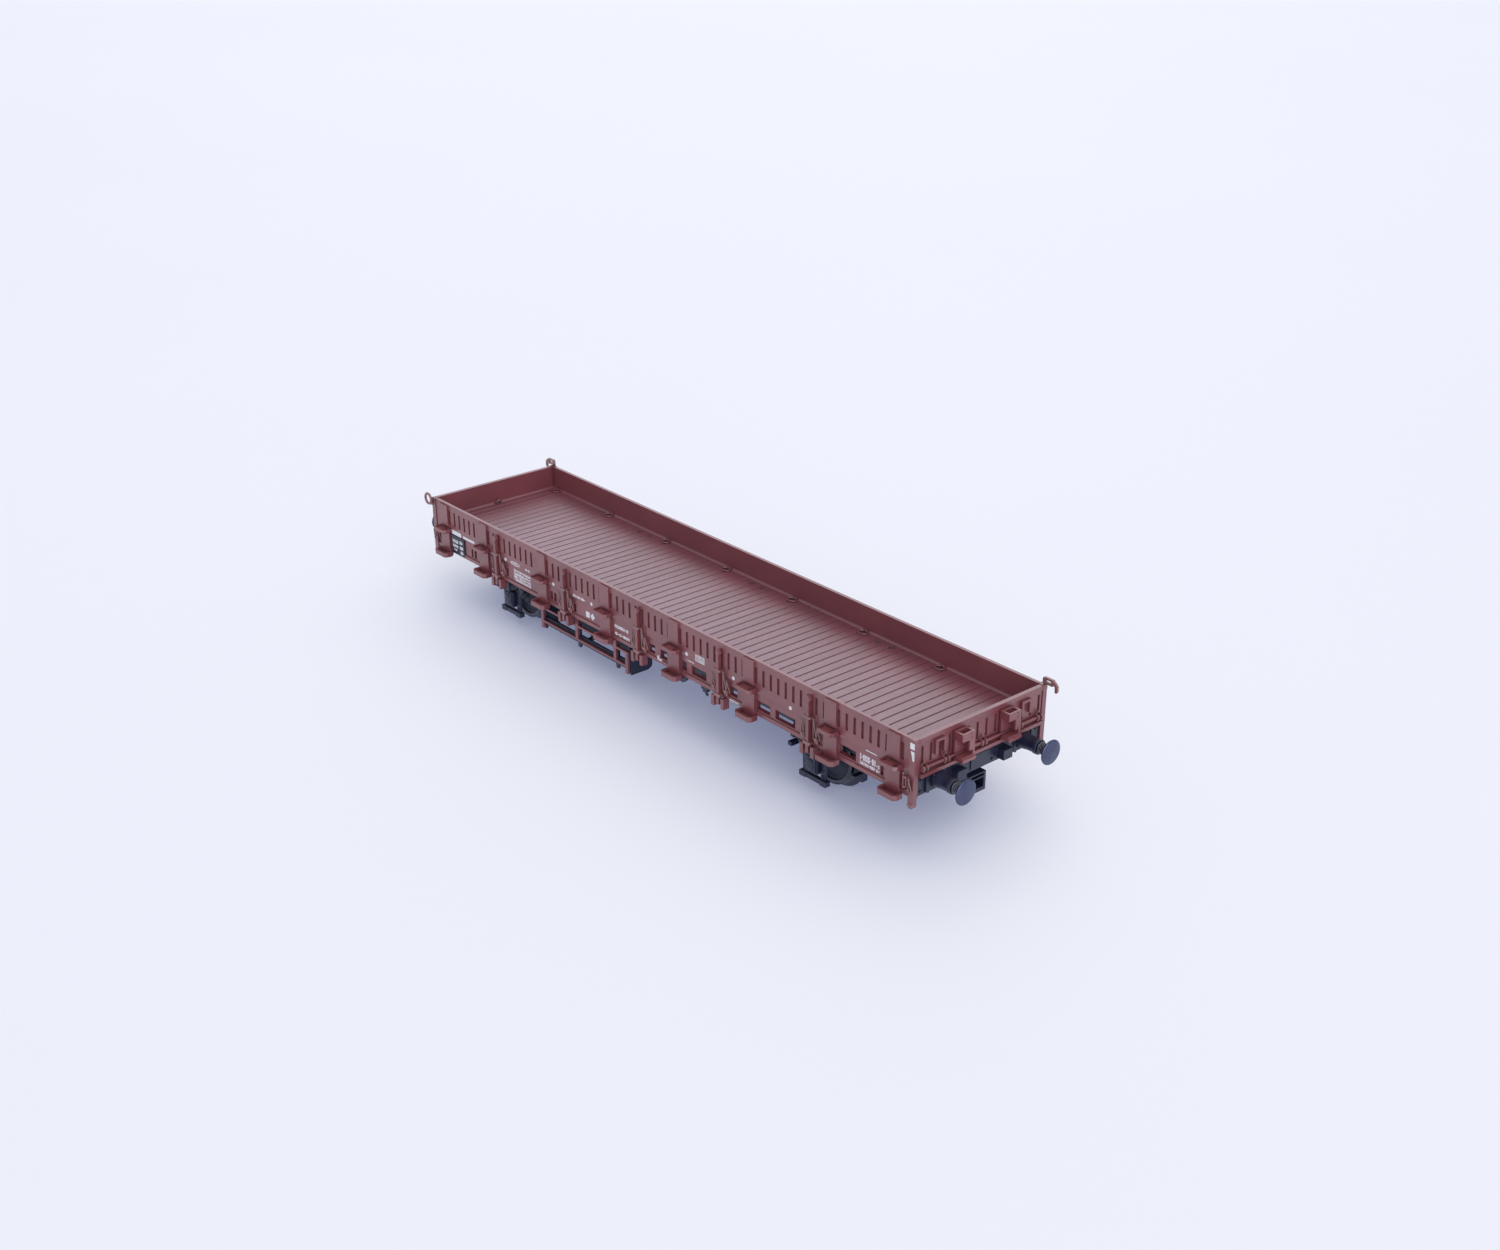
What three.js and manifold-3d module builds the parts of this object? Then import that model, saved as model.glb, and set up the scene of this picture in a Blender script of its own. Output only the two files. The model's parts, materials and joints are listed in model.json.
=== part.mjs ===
// Two-axle low-sided stake wagon, 1:87 scale model (H0, 16.5 mm gauge).
// Millimetres, +Z up, +X along the wagon. Z = 0 is the plane under the wheel flanges and the
// origin is the middle of the wagon on that plane. The long side towards -Y is called front.
// The front and rear sides, and the left and right ends, are alike under a half turn about Z.

import * as THREE from "three";
import Module from "manifold-3d";
import { mergeVertices } from "three/addons/utils/BufferGeometryUtils.js";

const wasm = await Module();
wasm.setup();

// ---------------------------------------------------------------- driving dimensions
const LENGTH_OVER_BUFFERS = 160;
const BODY_HALF_LENGTH = 73.1;
const BODY_HALF_WIDTH = 15.8;
const WALL_TOP = 22;
const WALL_THICKNESS = 0.7;
const DECK_TOP = 17;
const DECK_BOTTOM = 15.7;
const PLANK_PITCH = 2.17;
const SEAM = 0.1; // gap between neighbouring mouldings

const BEAD_WIDTH = 0.62;
const BEAD_DEPTH = 0.35;
const BEAD_BOTTOM = 17.5;
const BEAD_TOP = 20.65;

const SILL_TOP = 15.55;
const SILL_BOTTOM = 11.3;
const SILL_INSET = 0.25;
const STAKE_X = [10.7, 32.1, 53.4, 68.5];
const STAKE_PANEL_WIDTH = 3;
const STAKE_PANEL_PROUD = 0.4;
const STAKE_PANEL_BOTTOM = 17.15;
const STAKE_PLATE_HALF_WIDTH = 1.65;
const LEDGE_BOTTOM = 15.85;
const LEDGE_TOP = 16.6;
const CUP_BOTTOM = 10.4;
const CUP_TOP = 11.35;
const WINDOW_BOTTOM = 12.4;
const WINDOW_TOP = 14.2;
const DROP_SIDE_POST_X = [-48.2, -24.1, 0, 24.1, 48.2];

const AXLE_X = 47.1;
const AXLE_Z = 6.5;
const FLANGE_RADIUS = 6.5;
const TREAD_RADIUS = 5.5;
const WHEEL_BACK_Y = 7.2;
const WHEEL_WIDTH = 2.8;
const AXLE_HALF_LENGTH = 13.7;
const AXLE_GUARD_Y = 13.2;

const BUFFER_Y = 10.4;
const BUFFER_Z = 13.35;
const BUFFER_HEAD_RADIUS = 2.3;
const COUPLER_PIVOT_X = 58;
const COUPLER_FACE_X = 72.8;
const COUPLER_Z = 8.3;

const LAMP_RING_RADIUS = 1.5;
const LAMP_RING_EYE = 0.95;
const LAMP_RING_THICKNESS = 0.5;
const LAMP_RING_Y = 16.35;

// ---------------------------------------------------------------- materials
const brown = new THREE.MeshStandardMaterial({ color: 0x7a413f, roughness: 0.5, metalness: 0 });
const black = new THREE.MeshStandardMaterial({ color: 0x23242c, roughness: 0.45, metalness: 0 });
const steel = new THREE.MeshStandardMaterial({ color: 0x8c8f96, roughness: 0.35, metalness: 1 });
const darkSteel = new THREE.MeshStandardMaterial({ color: 0x3d3f48, roughness: 0.4, metalness: 1 });

// ---------------------------------------------------------------- geometry helpers
function toSolid(geometry) {
  const bare = geometry.clone();
  bare.deleteAttribute("normal");
  bare.deleteAttribute("uv");
  const merged = mergeVertices(bare, 1e-4);
  return new wasm.Manifold(new wasm.Mesh({
    numProp: 3,
    vertProperties: new Float32Array(merged.attributes.position.array),
    triVerts: new Uint32Array(merged.index.array),
  }));
}

function toGeometry(solid) {
  const mesh = solid.getMesh();
  const geometry = new THREE.BufferGeometry();
  geometry.setAttribute("position", new THREE.BufferAttribute(new Float32Array(mesh.vertProperties), 3));
  geometry.setIndex(new THREE.BufferAttribute(new Uint32Array(mesh.triVerts), 1));
  geometry.computeVertexNormals();
  return geometry;
}

// A block between two corners, given as ranges along X, Y and Z.
function block([x0, x1], [y0, y1], [z0, z1]) {
  const geometry = new THREE.BoxGeometry(x1 - x0, y1 - y0, z1 - z0);
  geometry.translate((x0 + x1) / 2, (y0 + y1) / 2, (z0 + z1) / 2);
  return toSolid(geometry);
}

// A round bar along one axis, from a to b on it, centred on the other two coordinates.
function bar(axis, radius, [a, b], [u, v], segments = 20, radiusAtB = radius) {
  const geometry = new THREE.CylinderGeometry(radiusAtB, radius, b - a, segments);
  const middle = (a + b) / 2;
  if (axis === "x") {
    geometry.rotateZ(-Math.PI / 2);
    geometry.translate(middle, u, v);
  } else if (axis === "y") {
    geometry.translate(u, middle, v);
  } else {
    geometry.rotateX(Math.PI / 2);
    geometry.translate(u, v, middle);
  }
  return toSolid(geometry);
}

// An outline in the XZ plane, extruded along Y from y0 to y1.
function plateXZ(points, [y0, y1]) {
  const shape = new THREE.Shape(points.map(([x, z]) => new THREE.Vector2(x, z)));
  const geometry = new THREE.ExtrudeGeometry(shape, { depth: y1 - y0, bevelEnabled: false });
  geometry.rotateX(Math.PI / 2);
  geometry.translate(0, y1, 0);
  return toSolid(geometry);
}

// An outline in the YZ plane, extruded along X from x0 to x1.
function plateYZ(points, [x0, x1]) {
  const shape = new THREE.Shape(points.map(([y, z]) => new THREE.Vector2(y, z)));
  const geometry = new THREE.ExtrudeGeometry(shape, { depth: x1 - x0, bevelEnabled: false });
  geometry.applyMatrix4(new THREE.Matrix4().makeBasis(
    new THREE.Vector3(0, 1, 0),
    new THREE.Vector3(0, 0, 1),
    new THREE.Vector3(1, 0, 0),
  ));
  geometry.translate(x0, 0, 0);
  return toSolid(geometry);
}

// A profile of [radius, position] pairs turned about the X or Y axis.
function turned(axis, profile, segments) {
  const points = profile.map(([r, t]) => new THREE.Vector2(r, t));
  const geometry = new THREE.LatheGeometry(points, segments);
  if (axis === "x") geometry.rotateZ(-Math.PI / 2);
  return toSolid(geometry);
}

function joined(solids) {
  return solids.reduce((sum, next) => sum.add(next));
}

function cut(solid, tools) {
  return tools.reduce((rest, tool) => rest.subtract(tool), solid);
}

const wagon = new THREE.Group();

function place(name, solid, material, { x = 0, y = 0, z = 0, halfTurn = false } = {}) {
  const mesh = new THREE.Mesh(toGeometry(solid), material);
  mesh.name = name;
  mesh.position.set(x, y, z);
  if (halfTurn) mesh.rotation.z = Math.PI;
  wagon.add(mesh);
}

const ENDS = [["right", false], ["left", true]];
const SIDES = [["front", false], ["rear", true]];

// ---------------------------------------------------------------- deck
// Transverse planks with a V groove at each joint, on one floor plate.
function deckFloor() {
  const halfLength = BODY_HALF_LENGTH - WALL_THICKNESS - SEAM;
  const halfWidth = BODY_HALF_WIDTH - WALL_THICKNESS - SEAM;
  const grooveHalf = 0.16;
  const grooveDepth = 0.3;
  const outline = [[-halfLength, DECK_BOTTOM], [halfLength, DECK_BOTTOM], [halfLength, DECK_TOP]];
  const joints = Math.floor(halfLength / PLANK_PITCH);
  for (let i = joints; i > -joints - 1; i -= 1) {
    const x = (i - 0.5) * PLANK_PITCH;
    if (Math.abs(x) < halfLength - 1) {
      outline.push([x + grooveHalf, DECK_TOP]);
      outline.push([x, DECK_TOP - grooveDepth]);
      outline.push([x - grooveHalf, DECK_TOP]);
    }
  }
  outline.push([-halfLength, DECK_TOP]);
  return plateXZ(outline, [-halfWidth, halfWidth]);
}

// ---------------------------------------------------------------- sides
// Bead grooves between neighbouring stake panels, evenly spread and the same in each bay.
function beadPositions() {
  const centres = [...STAKE_X.map((x) => -x).reverse(), ...STAKE_X];
  const edge = STAKE_PANEL_WIDTH / 2 + BEAD_WIDTH / 2;
  const positions = [];
  for (let i = 0; i + 1 < centres.length; i += 1) {
    const from = centres[i] + edge;
    const to = centres[i + 1] - edge;
    const gaps = Math.round((to - from) / 2);
    for (let k = 0; k <= gaps; k += 1) positions.push(from + ((to - from) * k) / gaps);
  }
  const endBay = 70.35;
  positions.push(endBay, -endBay);
  return positions;
}

// The drop sides in one moulding: boards with beads, a plain rim and a plain foot.
function sideWall() {
  const halfLength = BODY_HALF_LENGTH - 1.2;
  const face = -BODY_HALF_WIDTH;
  const back = face + WALL_THICKNESS;
  const boards = block([-halfLength, halfLength], [face, back], [SILL_TOP + SEAM, WALL_TOP]);
  const beads = beadPositions().map((x) => block(
    [x - BEAD_WIDTH / 2, x + BEAD_WIDTH / 2],
    [face - 1, face + BEAD_DEPTH],
    [BEAD_BOTTOM, BEAD_TOP],
  ));
  const panels = [];
  for (const centre of STAKE_X) {
    for (const x of [-centre, centre]) {
      panels.push(block(
        [x - STAKE_PANEL_WIDTH / 2, x + STAKE_PANEL_WIDTH / 2],
        [face - STAKE_PANEL_PROUD, face + 0.2],
        [STAKE_PANEL_BOTTOM, WALL_TOP - 0.3],
      ));
    }
  }
  return joined([cut(boards, beads), ...panels]);
}

// A strap bent round a stake: open above and below, with chamfered outer corners.
function stakeSocket(x, { width, depth, bottom, top, wall, face }) {
  const half = width / 2;
  const chamfer = 0.55;
  const front = face - depth;
  const outer = new THREE.Shape([
    new THREE.Vector2(x - half, face),
    new THREE.Vector2(x - half, front + chamfer),
    new THREE.Vector2(x - half + chamfer, front),
    new THREE.Vector2(x + half - chamfer, front),
    new THREE.Vector2(x + half, front + chamfer),
    new THREE.Vector2(x + half, face),
  ]);
  const geometry = new THREE.ExtrudeGeometry(outer, { depth: top - bottom, bevelEnabled: false });
  geometry.translate(0, 0, bottom);
  const slot = block(
    [x - half + wall, x + half - wall],
    [front + wall, face - 0.12],
    [bottom - 1, top + 1],
  );
  return toSolid(geometry).subtract(slot);
}

// The side sill with its windows, stake sockets and drop-side posts.
function sideSill() {
  const halfLength = BODY_HALF_LENGTH - 1.2;
  const face = -BODY_HALF_WIDTH + SILL_INSET;
  const web = block([-halfLength, halfLength], [face, face + 0.9], [SILL_BOTTOM, SILL_TOP]);
  const flange = block(
    [-halfLength, halfLength],
    [-BODY_HALF_WIDTH, face + 0.4],
    [SILL_BOTTOM, SILL_BOTTOM + 0.75],
  );
  const windows = [
    [2.4, 4.4], [6.1, 8.1], [12.4, 14], [15.4, 19.7], [26.4, 28.5], [33.8, 37.4],
    [38.8, 44], [55.2, 59.3], [65.2, 65.9], [-21.9, -21], [-29.9, -29.1], [-28.6, -27.8],
    [-45.7, -45], [-57.9, -57.1], [-59.1, -58.4],
  ];
  const depth = [face - 1, face + 2];
  const openings = windows.map((range) => block(range, depth, [WINDOW_BOTTOM, WINDOW_TOP]));
  const parts = [cut(joined([web, flange]), openings)];
  for (const centre of STAKE_X) {
    for (const x of [-centre, centre]) parts.push(...stakeBracket(x, face));
  }
  for (const x of DROP_SIDE_POST_X) parts.push(...dropSidePost(x));
  return joined(parts);
}

// A thin backing plate, a ledge with a filled middle at its head, and an open cup at its foot.
function stakeBracket(x, sillFace) {
  const face = -BODY_HALF_WIDTH - 0.1;
  const front = face - 0.25;
  const across = [x - STAKE_PLATE_HALF_WIDTH, x + STAKE_PLATE_HALF_WIDTH];
  return [
    block(across, [front, sillFace + 0.2], [CUP_BOTTOM, 15.45]),
    block(across, [front, face], [15.4, LEDGE_BOTTOM + 0.1]),
    stakeSocket(x, { width: 4.2, depth: 1.8, bottom: LEDGE_BOTTOM, top: LEDGE_TOP, wall: 0.4, face }),
    block([x - 1, x + 1], [face - 1.6, face], [LEDGE_BOTTOM, LEDGE_TOP]),
    stakeSocket(x, { width: 4.5, depth: 1.9, bottom: CUP_BOTTOM, top: CUP_TOP, wall: 0.5, face }),
    block([x - 1.8, x + 1.8], [face - 1.5, face], [CUP_BOTTOM, CUP_BOTTOM + 0.25]),
  ];
}

// A slim post in front of the boards, with a pointed head and two foot brackets.
function dropSidePost(x) {
  const face = -BODY_HALF_WIDTH;
  const front = face - 0.85;
  const back = face - 0.08;
  const half = 0.36;
  const post = plateXZ([
    [x - half, 9.9], [x + half, 9.9], [x + half, 19.9], [x + 0.62, 20.1],
    [x, 20.9], [x - 0.62, 20.1], [x - half, 19.9],
  ], [front, back]);
  const foot = block([x - half, x + half], [front, face + 0.6], [11.4, 12.6]);
  const brackets = [
    block([x - 1.75, x - 0.95], [face - 0.9, face + 0.5], [9.3, 11.4]),
    block([x + 0.95, x + 1.75], [face - 0.9, face + 0.5], [9.3, 11.4]),
  ];
  return [post, foot, ...brackets];
}

// An angle section that closes the corner between a side and an end.
function cornerPost() {
  const outer = [BODY_HALF_LENGTH + 0.15, -BODY_HALF_WIDTH - 0.15];
  const sideLeg = block([BODY_HALF_LENGTH - 1.1, outer[0]], [outer[1], -15.1], [9.9, WALL_TOP + 0.05]);
  const foot = bar("y", 0.62, [outer[1], -15.1], [BODY_HALF_LENGTH - 0.47, 9.9], 16);
  const endLeg = block([72.5, outer[0]], [outer[1], -14.95], [SILL_BOTTOM, WALL_TOP + 0.05]);
  const hook = block([71.2, 72.1], [-16.5, -15.9], [12.9, 15.2]);
  const hookHole = block([71.45, 71.85], [-17, -15.2], [13.4, 14.7]);
  const hookRoot = block([71.9, 72.4], [-16.5, -15.5], [12.9, 13.4]);
  return joined([sideLeg, foot, endLeg, hook.subtract(hookHole), hookRoot]);
}

// A ring for a tail lamp, with the short stem that holds it to the corner post.
function lampBracket() {
  const ring = new THREE.Shape();
  ring.absarc(0, 0, LAMP_RING_RADIUS, 0, Math.PI * 2, false);
  const eye = new THREE.Path();
  eye.absarc(0, 0, LAMP_RING_EYE, 0, Math.PI * 2, true);
  ring.holes.push(eye);
  const geometry = new THREE.ExtrudeGeometry(ring, {
    depth: LAMP_RING_THICKNESS,
    bevelEnabled: false,
    curveSegments: 12,
  });
  geometry.rotateX(Math.PI / 2);
  geometry.translate(0, LAMP_RING_THICKNESS / 2, 0);
  const half = LAMP_RING_THICKNESS / 2;
  const stem = block([0.35, 1.3], [-half, half], [-1.45, -0.85]);
  return toSolid(geometry).add(stem);
}

// A loop of strap over a rear corner, with a leg down the end face and a short toe.
function lampStrap() {
  const depth = [15.45, 15.95];
  const loop = block([72.5, 74.9], depth, [22.15, 23.3]);
  const eye = block([73.1, 74.3], [15, 16.4], [22.5, 22.95]);
  const leg = block([BODY_HALF_LENGTH + 0.25, BODY_HALF_LENGTH + 0.85], depth, [21.2, 22.3]);
  const toe = block([74.5, 75.2], depth, [21.7, 22.5]);
  return joined([loop.subtract(eye), leg, toe]);
}

// ---------------------------------------------------------------- ends
const END_FACE = BODY_HALF_LENGTH;
const END_HALF_WIDTH = 14.85;
const END_STAKE_Y = 5.6;

function endWall() {
  const across = [-END_HALF_WIDTH, END_HALF_WIDTH];
  const wall = block([END_FACE - WALL_THICKNESS, END_FACE], across, [15, WALL_TOP]);
  const rim = block([END_FACE - 0.2, END_FACE + 0.14], across, [21.1, WALL_TOP]);
  const beads = [];
  for (const y of [1.1, 3.3, 7.7, 9.9, 12.1, 14.1]) {
    for (const side of [-1, 1]) {
      beads.push(block(
        [END_FACE - BEAD_DEPTH, END_FACE + 1],
        [side * y - 0.27, side * y + 0.27],
        [17.2, 20.5],
      ));
    }
  }
  const rail = block([END_FACE - 0.2, END_FACE + 0.75], across, [15, 15.65]);
  const rod = bar("y", 0.28, [-14.4, 14.4], [END_FACE + 0.42, 16.55], 8);
  const parts = [cut(joined([wall, rim]), beads), rail, rod];
  for (const y of [-13.9, -8.9, 0, 8.9, 13.9]) {
    for (const offset of [-0.45, 0.45]) {
      parts.push(block(
        [END_FACE - 0.2, END_FACE + 0.8],
        [y + offset - 0.22, y + offset + 0.22],
        [16.05, 17.05],
      ));
    }
  }
  for (const y of [-10.4, 10.4]) parts.push(...grabFrame(y));
  return joined(parts);
}

// A three-sided raised frame on the end boards.
function grabFrame(y) {
  const x = [END_FACE - 0.2, END_FACE + 0.65];
  return [
    block(x, [y - 1.15, y - 0.8], [18.3, 20.9]),
    block(x, [y + 0.8, y + 1.15], [18.3, 20.9]),
    block(x, [y - 1.15, y + 1.15], [20.5, 20.9]),
  ];
}

// A box channel for a stake on the end wall: a full ring at the top, half open below it.
function endStakePocket() {
  const x0 = END_FACE + 0.15;
  const channel = block([x0, x0 + 2.2], [-1.5, 1.5], [16.3, 20.95]);
  const hole = block([x0 + 0.55, x0 + 1.75], [-1.05, 1.05], [16.6, 22]);
  const openSide = block([x0 + 0.55, x0 + 3], [-2, 0.2], [16.6, 19.5]);
  const mouth = block([x0 + 1.5, x0 + 3], [0, 1.05], [16.6, 17.5]);
  const seat = block([x0 + 0.05, x0 + 2.5], [-1.6, 1.6], [15.75, 16.35]);
  const rodSlot = block([x0 - 0.2, END_FACE + 0.8], [-3, 3], [16.15, 16.95]);
  return cut(channel, [hole, openSide, mouth]).add(seat).subtract(rodSlot);
}

// The buffer beam with a stake seat under each end stake pocket.
function headstock() {
  const beam = block([72, 72.95], [-14.85, 14.85], [SILL_BOTTOM, 14.85]);
  const brackets = [-END_STAKE_Y, END_STAKE_Y].map((y) => block(
    [72, 74.6],
    [y - 1.3, y + 0.9],
    [11.8, 13.7],
  ));
  return joined([beam, ...brackets]);
}

const SLEEVE_START = 73.1;
const SLEEVE_END = 77.3;
const SHANK_RADIUS = 0.9;

function bufferSleeve() {
  const bore = SHANK_RADIUS + 0.08;
  return turned("x", [
    [0, SLEEVE_START], [1.55, SLEEVE_START], [1.55, SLEEVE_START + 0.6], [1.4, SLEEVE_START + 1.2],
    [1.4, SLEEVE_END], [bore, SLEEVE_END], [bore, SLEEVE_START + 0.6], [0, SLEEVE_START + 0.6],
  ], 20);
}

function bufferPlunger() {
  const face = LENGTH_OVER_BUFFERS / 2;
  return turned("x", [
    [0, 75.1], [SHANK_RADIUS, 75.1], [SHANK_RADIUS, face - 1.3], [1.4, face - 0.7],
    [BUFFER_HEAD_RADIUS, face - 0.5], [BUFFER_HEAD_RADIUS, face - 0.15],
    [BUFFER_HEAD_RADIUS - 0.2, face], [0, face],
  ], 22);
}

// ---------------------------------------------------------------- close couplers
const SPRING_BOTTOM = 11.35;
const SPRING_HEIGHT = 0.55;

// A swinging drawbar that ends in a standard rectangular socket with a spring fork behind it.
function couplerPocket() {
  const front = COUPLER_FACE_X;
  const shell = block([front - 6.2, front], [-2.1, 2.1], [COUPLER_Z - 1.85, COUPLER_Z + 1.8]);
  const socket = block([front - 5.4, front + 1], [-1.6, 1.6], [COUPLER_Z - 1.1, COUPLER_Z + 0.7]);
  const recess = block([front - 0.7, front + 1], [-1.6, 1.6], [COUPLER_Z + 1, COUPLER_Z + 1.5]);
  const forkSlot = block([front - 7, front - 5], [-0.7, 0.7], [COUPLER_Z - 0.5, COUPLER_Z + 0.5]);
  const drawbar = block([COUPLER_PIVOT_X, front - 5.9], [-1.3, 1.3], [COUPLER_Z + 0.5, COUPLER_Z + 1.4]);
  const eye = bar("z", 2, [COUPLER_Z + 0.5, COUPLER_Z + 1.4], [COUPLER_PIVOT_X, 0], 28);
  const eyeHole = bar("z", 0.95, [COUPLER_Z, COUPLER_Z + 2], [COUPLER_PIVOT_X, 0], 20);
  const peg = block([63.4, 64.2], [-0.4, 0.4], [COUPLER_Z + 1.3, SPRING_BOTTOM + 0.35]);
  return cut(joined([shell, drawbar, eye, peg]), [socket, recess, forkSlot, eyeHole]);
}

// The plate under the frame that carries the drawbar's pivot and a stop for the spring.
function couplerCarrier() {
  const plate = block([COUPLER_PIVOT_X - 3, 69], [-5.2, 5.2], [12, 12.7]);
  const pin = bar("z", 0.85, [COUPLER_Z + 0.25, 12.2], [COUPLER_PIVOT_X, 0], 20);
  const head = bar("z", 1.5, [COUPLER_Z - 0.1, COUPLER_Z + 0.4], [COUPLER_PIVOT_X, 0], 20);
  const bosses = [[56, 58.4], [66.4, 68.6]].map((range) => block(range, [-4.6, 4.6], [12.6, 14.2]));
  return joined([plate, pin, head, ...bosses]);
}

// A leaf spring with two arms that close on the drawbar's peg and bring it back to the middle.
function couplerSpring() {
  const arms = [-1, 1].map((side) => {
    const shape = new THREE.Shape([
      new THREE.Vector2(59.9, side * 3.4),
      new THREE.Vector2(65.2, side * 1.15),
      new THREE.Vector2(65.2, side * 1.45),
      new THREE.Vector2(59.9, side * 3.75),
    ]);
    const geometry = new THREE.ExtrudeGeometry(shape, { depth: SPRING_HEIGHT, bevelEnabled: false });
    geometry.translate(0, 0, SPRING_BOTTOM);
    return toSolid(geometry);
  });
  const height = [SPRING_BOTTOM, SPRING_BOTTOM + SPRING_HEIGHT];
  const bridge = block([59.6, 60.1], [-3.75, 3.75], height);
  return joined([...arms, bridge]);
}

// ---------------------------------------------------------------- running gear
function wheel() {
  const inner = WHEEL_BACK_Y;
  const outer = WHEEL_BACK_Y + WHEEL_WIDTH;
  const bore = 1.05;
  return turned("y", [
    [bore, inner], [FLANGE_RADIUS - 0.3, inner], [FLANGE_RADIUS, inner + 0.35],
    [TREAD_RADIUS + 0.08, inner + 1], [TREAD_RADIUS - 0.08, outer], [4.7, outer],
    [4.5, outer - 0.7], [1.9, outer - 0.4], [1.8, outer + 0.2], [bore, outer + 0.2],
    [bore, inner],
  ], 26);
}

function axle() {
  return turned("y", [
    [0, -AXLE_HALF_LENGTH], [0.28, -AXLE_HALF_LENGTH], [0.45, -AXLE_HALF_LENGTH + 0.4],
    [0.45, -12.9], [1, -12.1], [1, 12.1], [0.45, 12.9],
    [0.45, AXLE_HALF_LENGTH - 0.4], [0.28, AXLE_HALF_LENGTH], [0, AXLE_HALF_LENGTH],
  ], 12);
}

// A W-iron with its tie bar, axle box and leaf spring, seen from outside on the front side.
function axleGuard() {
  const y = -AXLE_GUARD_Y;
  const plate = plateXZ([
    [-2.9, 3.8], [2.9, 3.8], [2.9, 7.6], [5.4, 11.2], [3.9, 11.2], [1.9, 8.9],
    [-1.9, 8.9], [-3.9, 11.2], [-5.4, 11.2], [-2.9, 7.6],
  ], [y - 0.7, y]);
  const topTie = block([-5.6, 5.6], [y - 0.7, y], [11, 14.2]);
  const tie = block([-3.45, 3.45], [y - 1, y + 0.15], [2.9, 3.9]);
  const box = block([-1.6, 1.6], [y - 1.6, y - 0.3], [4.8, 8.2]);
  const cover = bar("y", 1.15, [y - 1.95, y - 1.5], [0, 6.5], 16);
  const bearing = bar("y", 0.55, [y - 0.75, y + 1], [0, 6.5], 16);
  const spring = [];
  for (let leaf = 0; leaf < 3; leaf += 1) {
    const half = 5 - leaf * 1.2;
    const bottom = 9.6 - leaf * 0.45;
    spring.push(plateXZ([
      [-half, bottom + 0.75], [0, bottom], [half, bottom + 0.75],
      [half, bottom + 1.2], [0, bottom + 0.47], [-half, bottom + 1.2],
    ], [y - 1.35, y - 0.25]));
  }
  const buckle = block([-0.6, 0.6], [y - 1.55, y - 0.25], [8.1, 10.5]);
  const hangers = [-4.75, 4.75].map((x) => block([x - 0.3, x + 0.3], [y - 1.2, y - 0.3], [10.2, 12.2]));
  const ironwork = joined([plate, topTie, tie, box, cover, ...spring, buckle, ...hangers]);
  return ironwork.subtract(bearing);
}

// A transverse brake beam with a shoe for each wheel and a hanger behind each shoe.
function brakeBeam() {
  const beam = block([-8.7, -7.7], [-12.2, 12.2], [5.9, 6.7]);
  const parts = [beam];
  for (const side of [-1, 1]) {
    const y = side * 9.05;
    const shoe = block([-7.9, -4.2], [y - 0.7, y + 0.7], [4.3, 9]);
    const tread = bar("y", TREAD_RADIUS + 0.4, [y - 2, y + 2], [0, 6.5], 36);
    parts.push(shoe.subtract(tread));
    parts.push(block([-8.5, -7.7], [y - 0.4, y + 0.4], [6, 14.15]));
  }
  return joined(parts);
}

// ---------------------------------------------------------------- underframe
const BALLAST_HALF_LENGTH = 35;
const BALLAST_HALF_WIDTH = 8.4;
const BODY_SCREW_X = 31;
const BEAM_Y = 10.7;
const CYLINDER_Y = -8.2;
const CYLINDER_Z = 9.4;

function chassisFrame() {
  const plate = block([-71.7, 71.7], [-13.9, 13.9], [14.3, 15.1]);
  const ballastBay = block(
    [-BALLAST_HALF_LENGTH - SEAM, BALLAST_HALF_LENGTH + SEAM],
    [-BALLAST_HALF_WIDTH - SEAM, BALLAST_HALF_WIDTH + SEAM],
    [14, 16],
  );
  const parts = [plate.subtract(ballastBay)];
  for (const side of [-1, 1]) {
    const y = side * BEAM_Y;
    parts.push(block([-71.7, 71.7], [y - 0.2, y + 0.2], [10, 14.4]));
  }
  for (const x of [0.4, 9, 20, BODY_SCREW_X]) {
    const half = x === BODY_SCREW_X ? 2 : 0.6;
    parts.push(block([x - half, x + half], [-BEAM_Y, BEAM_Y], [12.9, 14.35]));
    parts.push(block([-x - half, -x + half], [-BEAM_Y, BEAM_Y], [12.9, 14.35]));
  }
  const holes = [-BODY_SCREW_X, BODY_SCREW_X].map((x) => bar("z", 0.9, [12, 15], [x, 0], 16));
  return cut(joined(parts), holes);
}

function bodyScrew() {
  const head = bar("z", 1.6, [11.8, 12.8], [0, 0], 20);
  const shaft = bar("z", 0.8, [12.7, 14.2], [0, 0], 16);
  const slot = block([-2, 2], [-0.2, 0.2], [10, 12.2]);
  return head.add(shaft).subtract(slot);
}

// A dished cylinder on a bracket, with its push rod.
function brakeCylinder() {
  const drum = bar("x", 2.1, [5.5, 12], [CYLINDER_Y, CYLINDER_Z], 20);
  const dome = bar("x", 2.1, [12, 12.8], [CYLINDER_Y, CYLINDER_Z], 20, 1.5);
  const rod = bar("x", 0.4, [2.2, 6], [CYLINDER_Y, CYLINDER_Z], 14);
  const bracket = block([8, 9.6], [CYLINDER_Y - 0.8, CYLINDER_Y + 0.8], [11, 12.8]);
  return joined([drum, dome, rod, bracket]);
}

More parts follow.
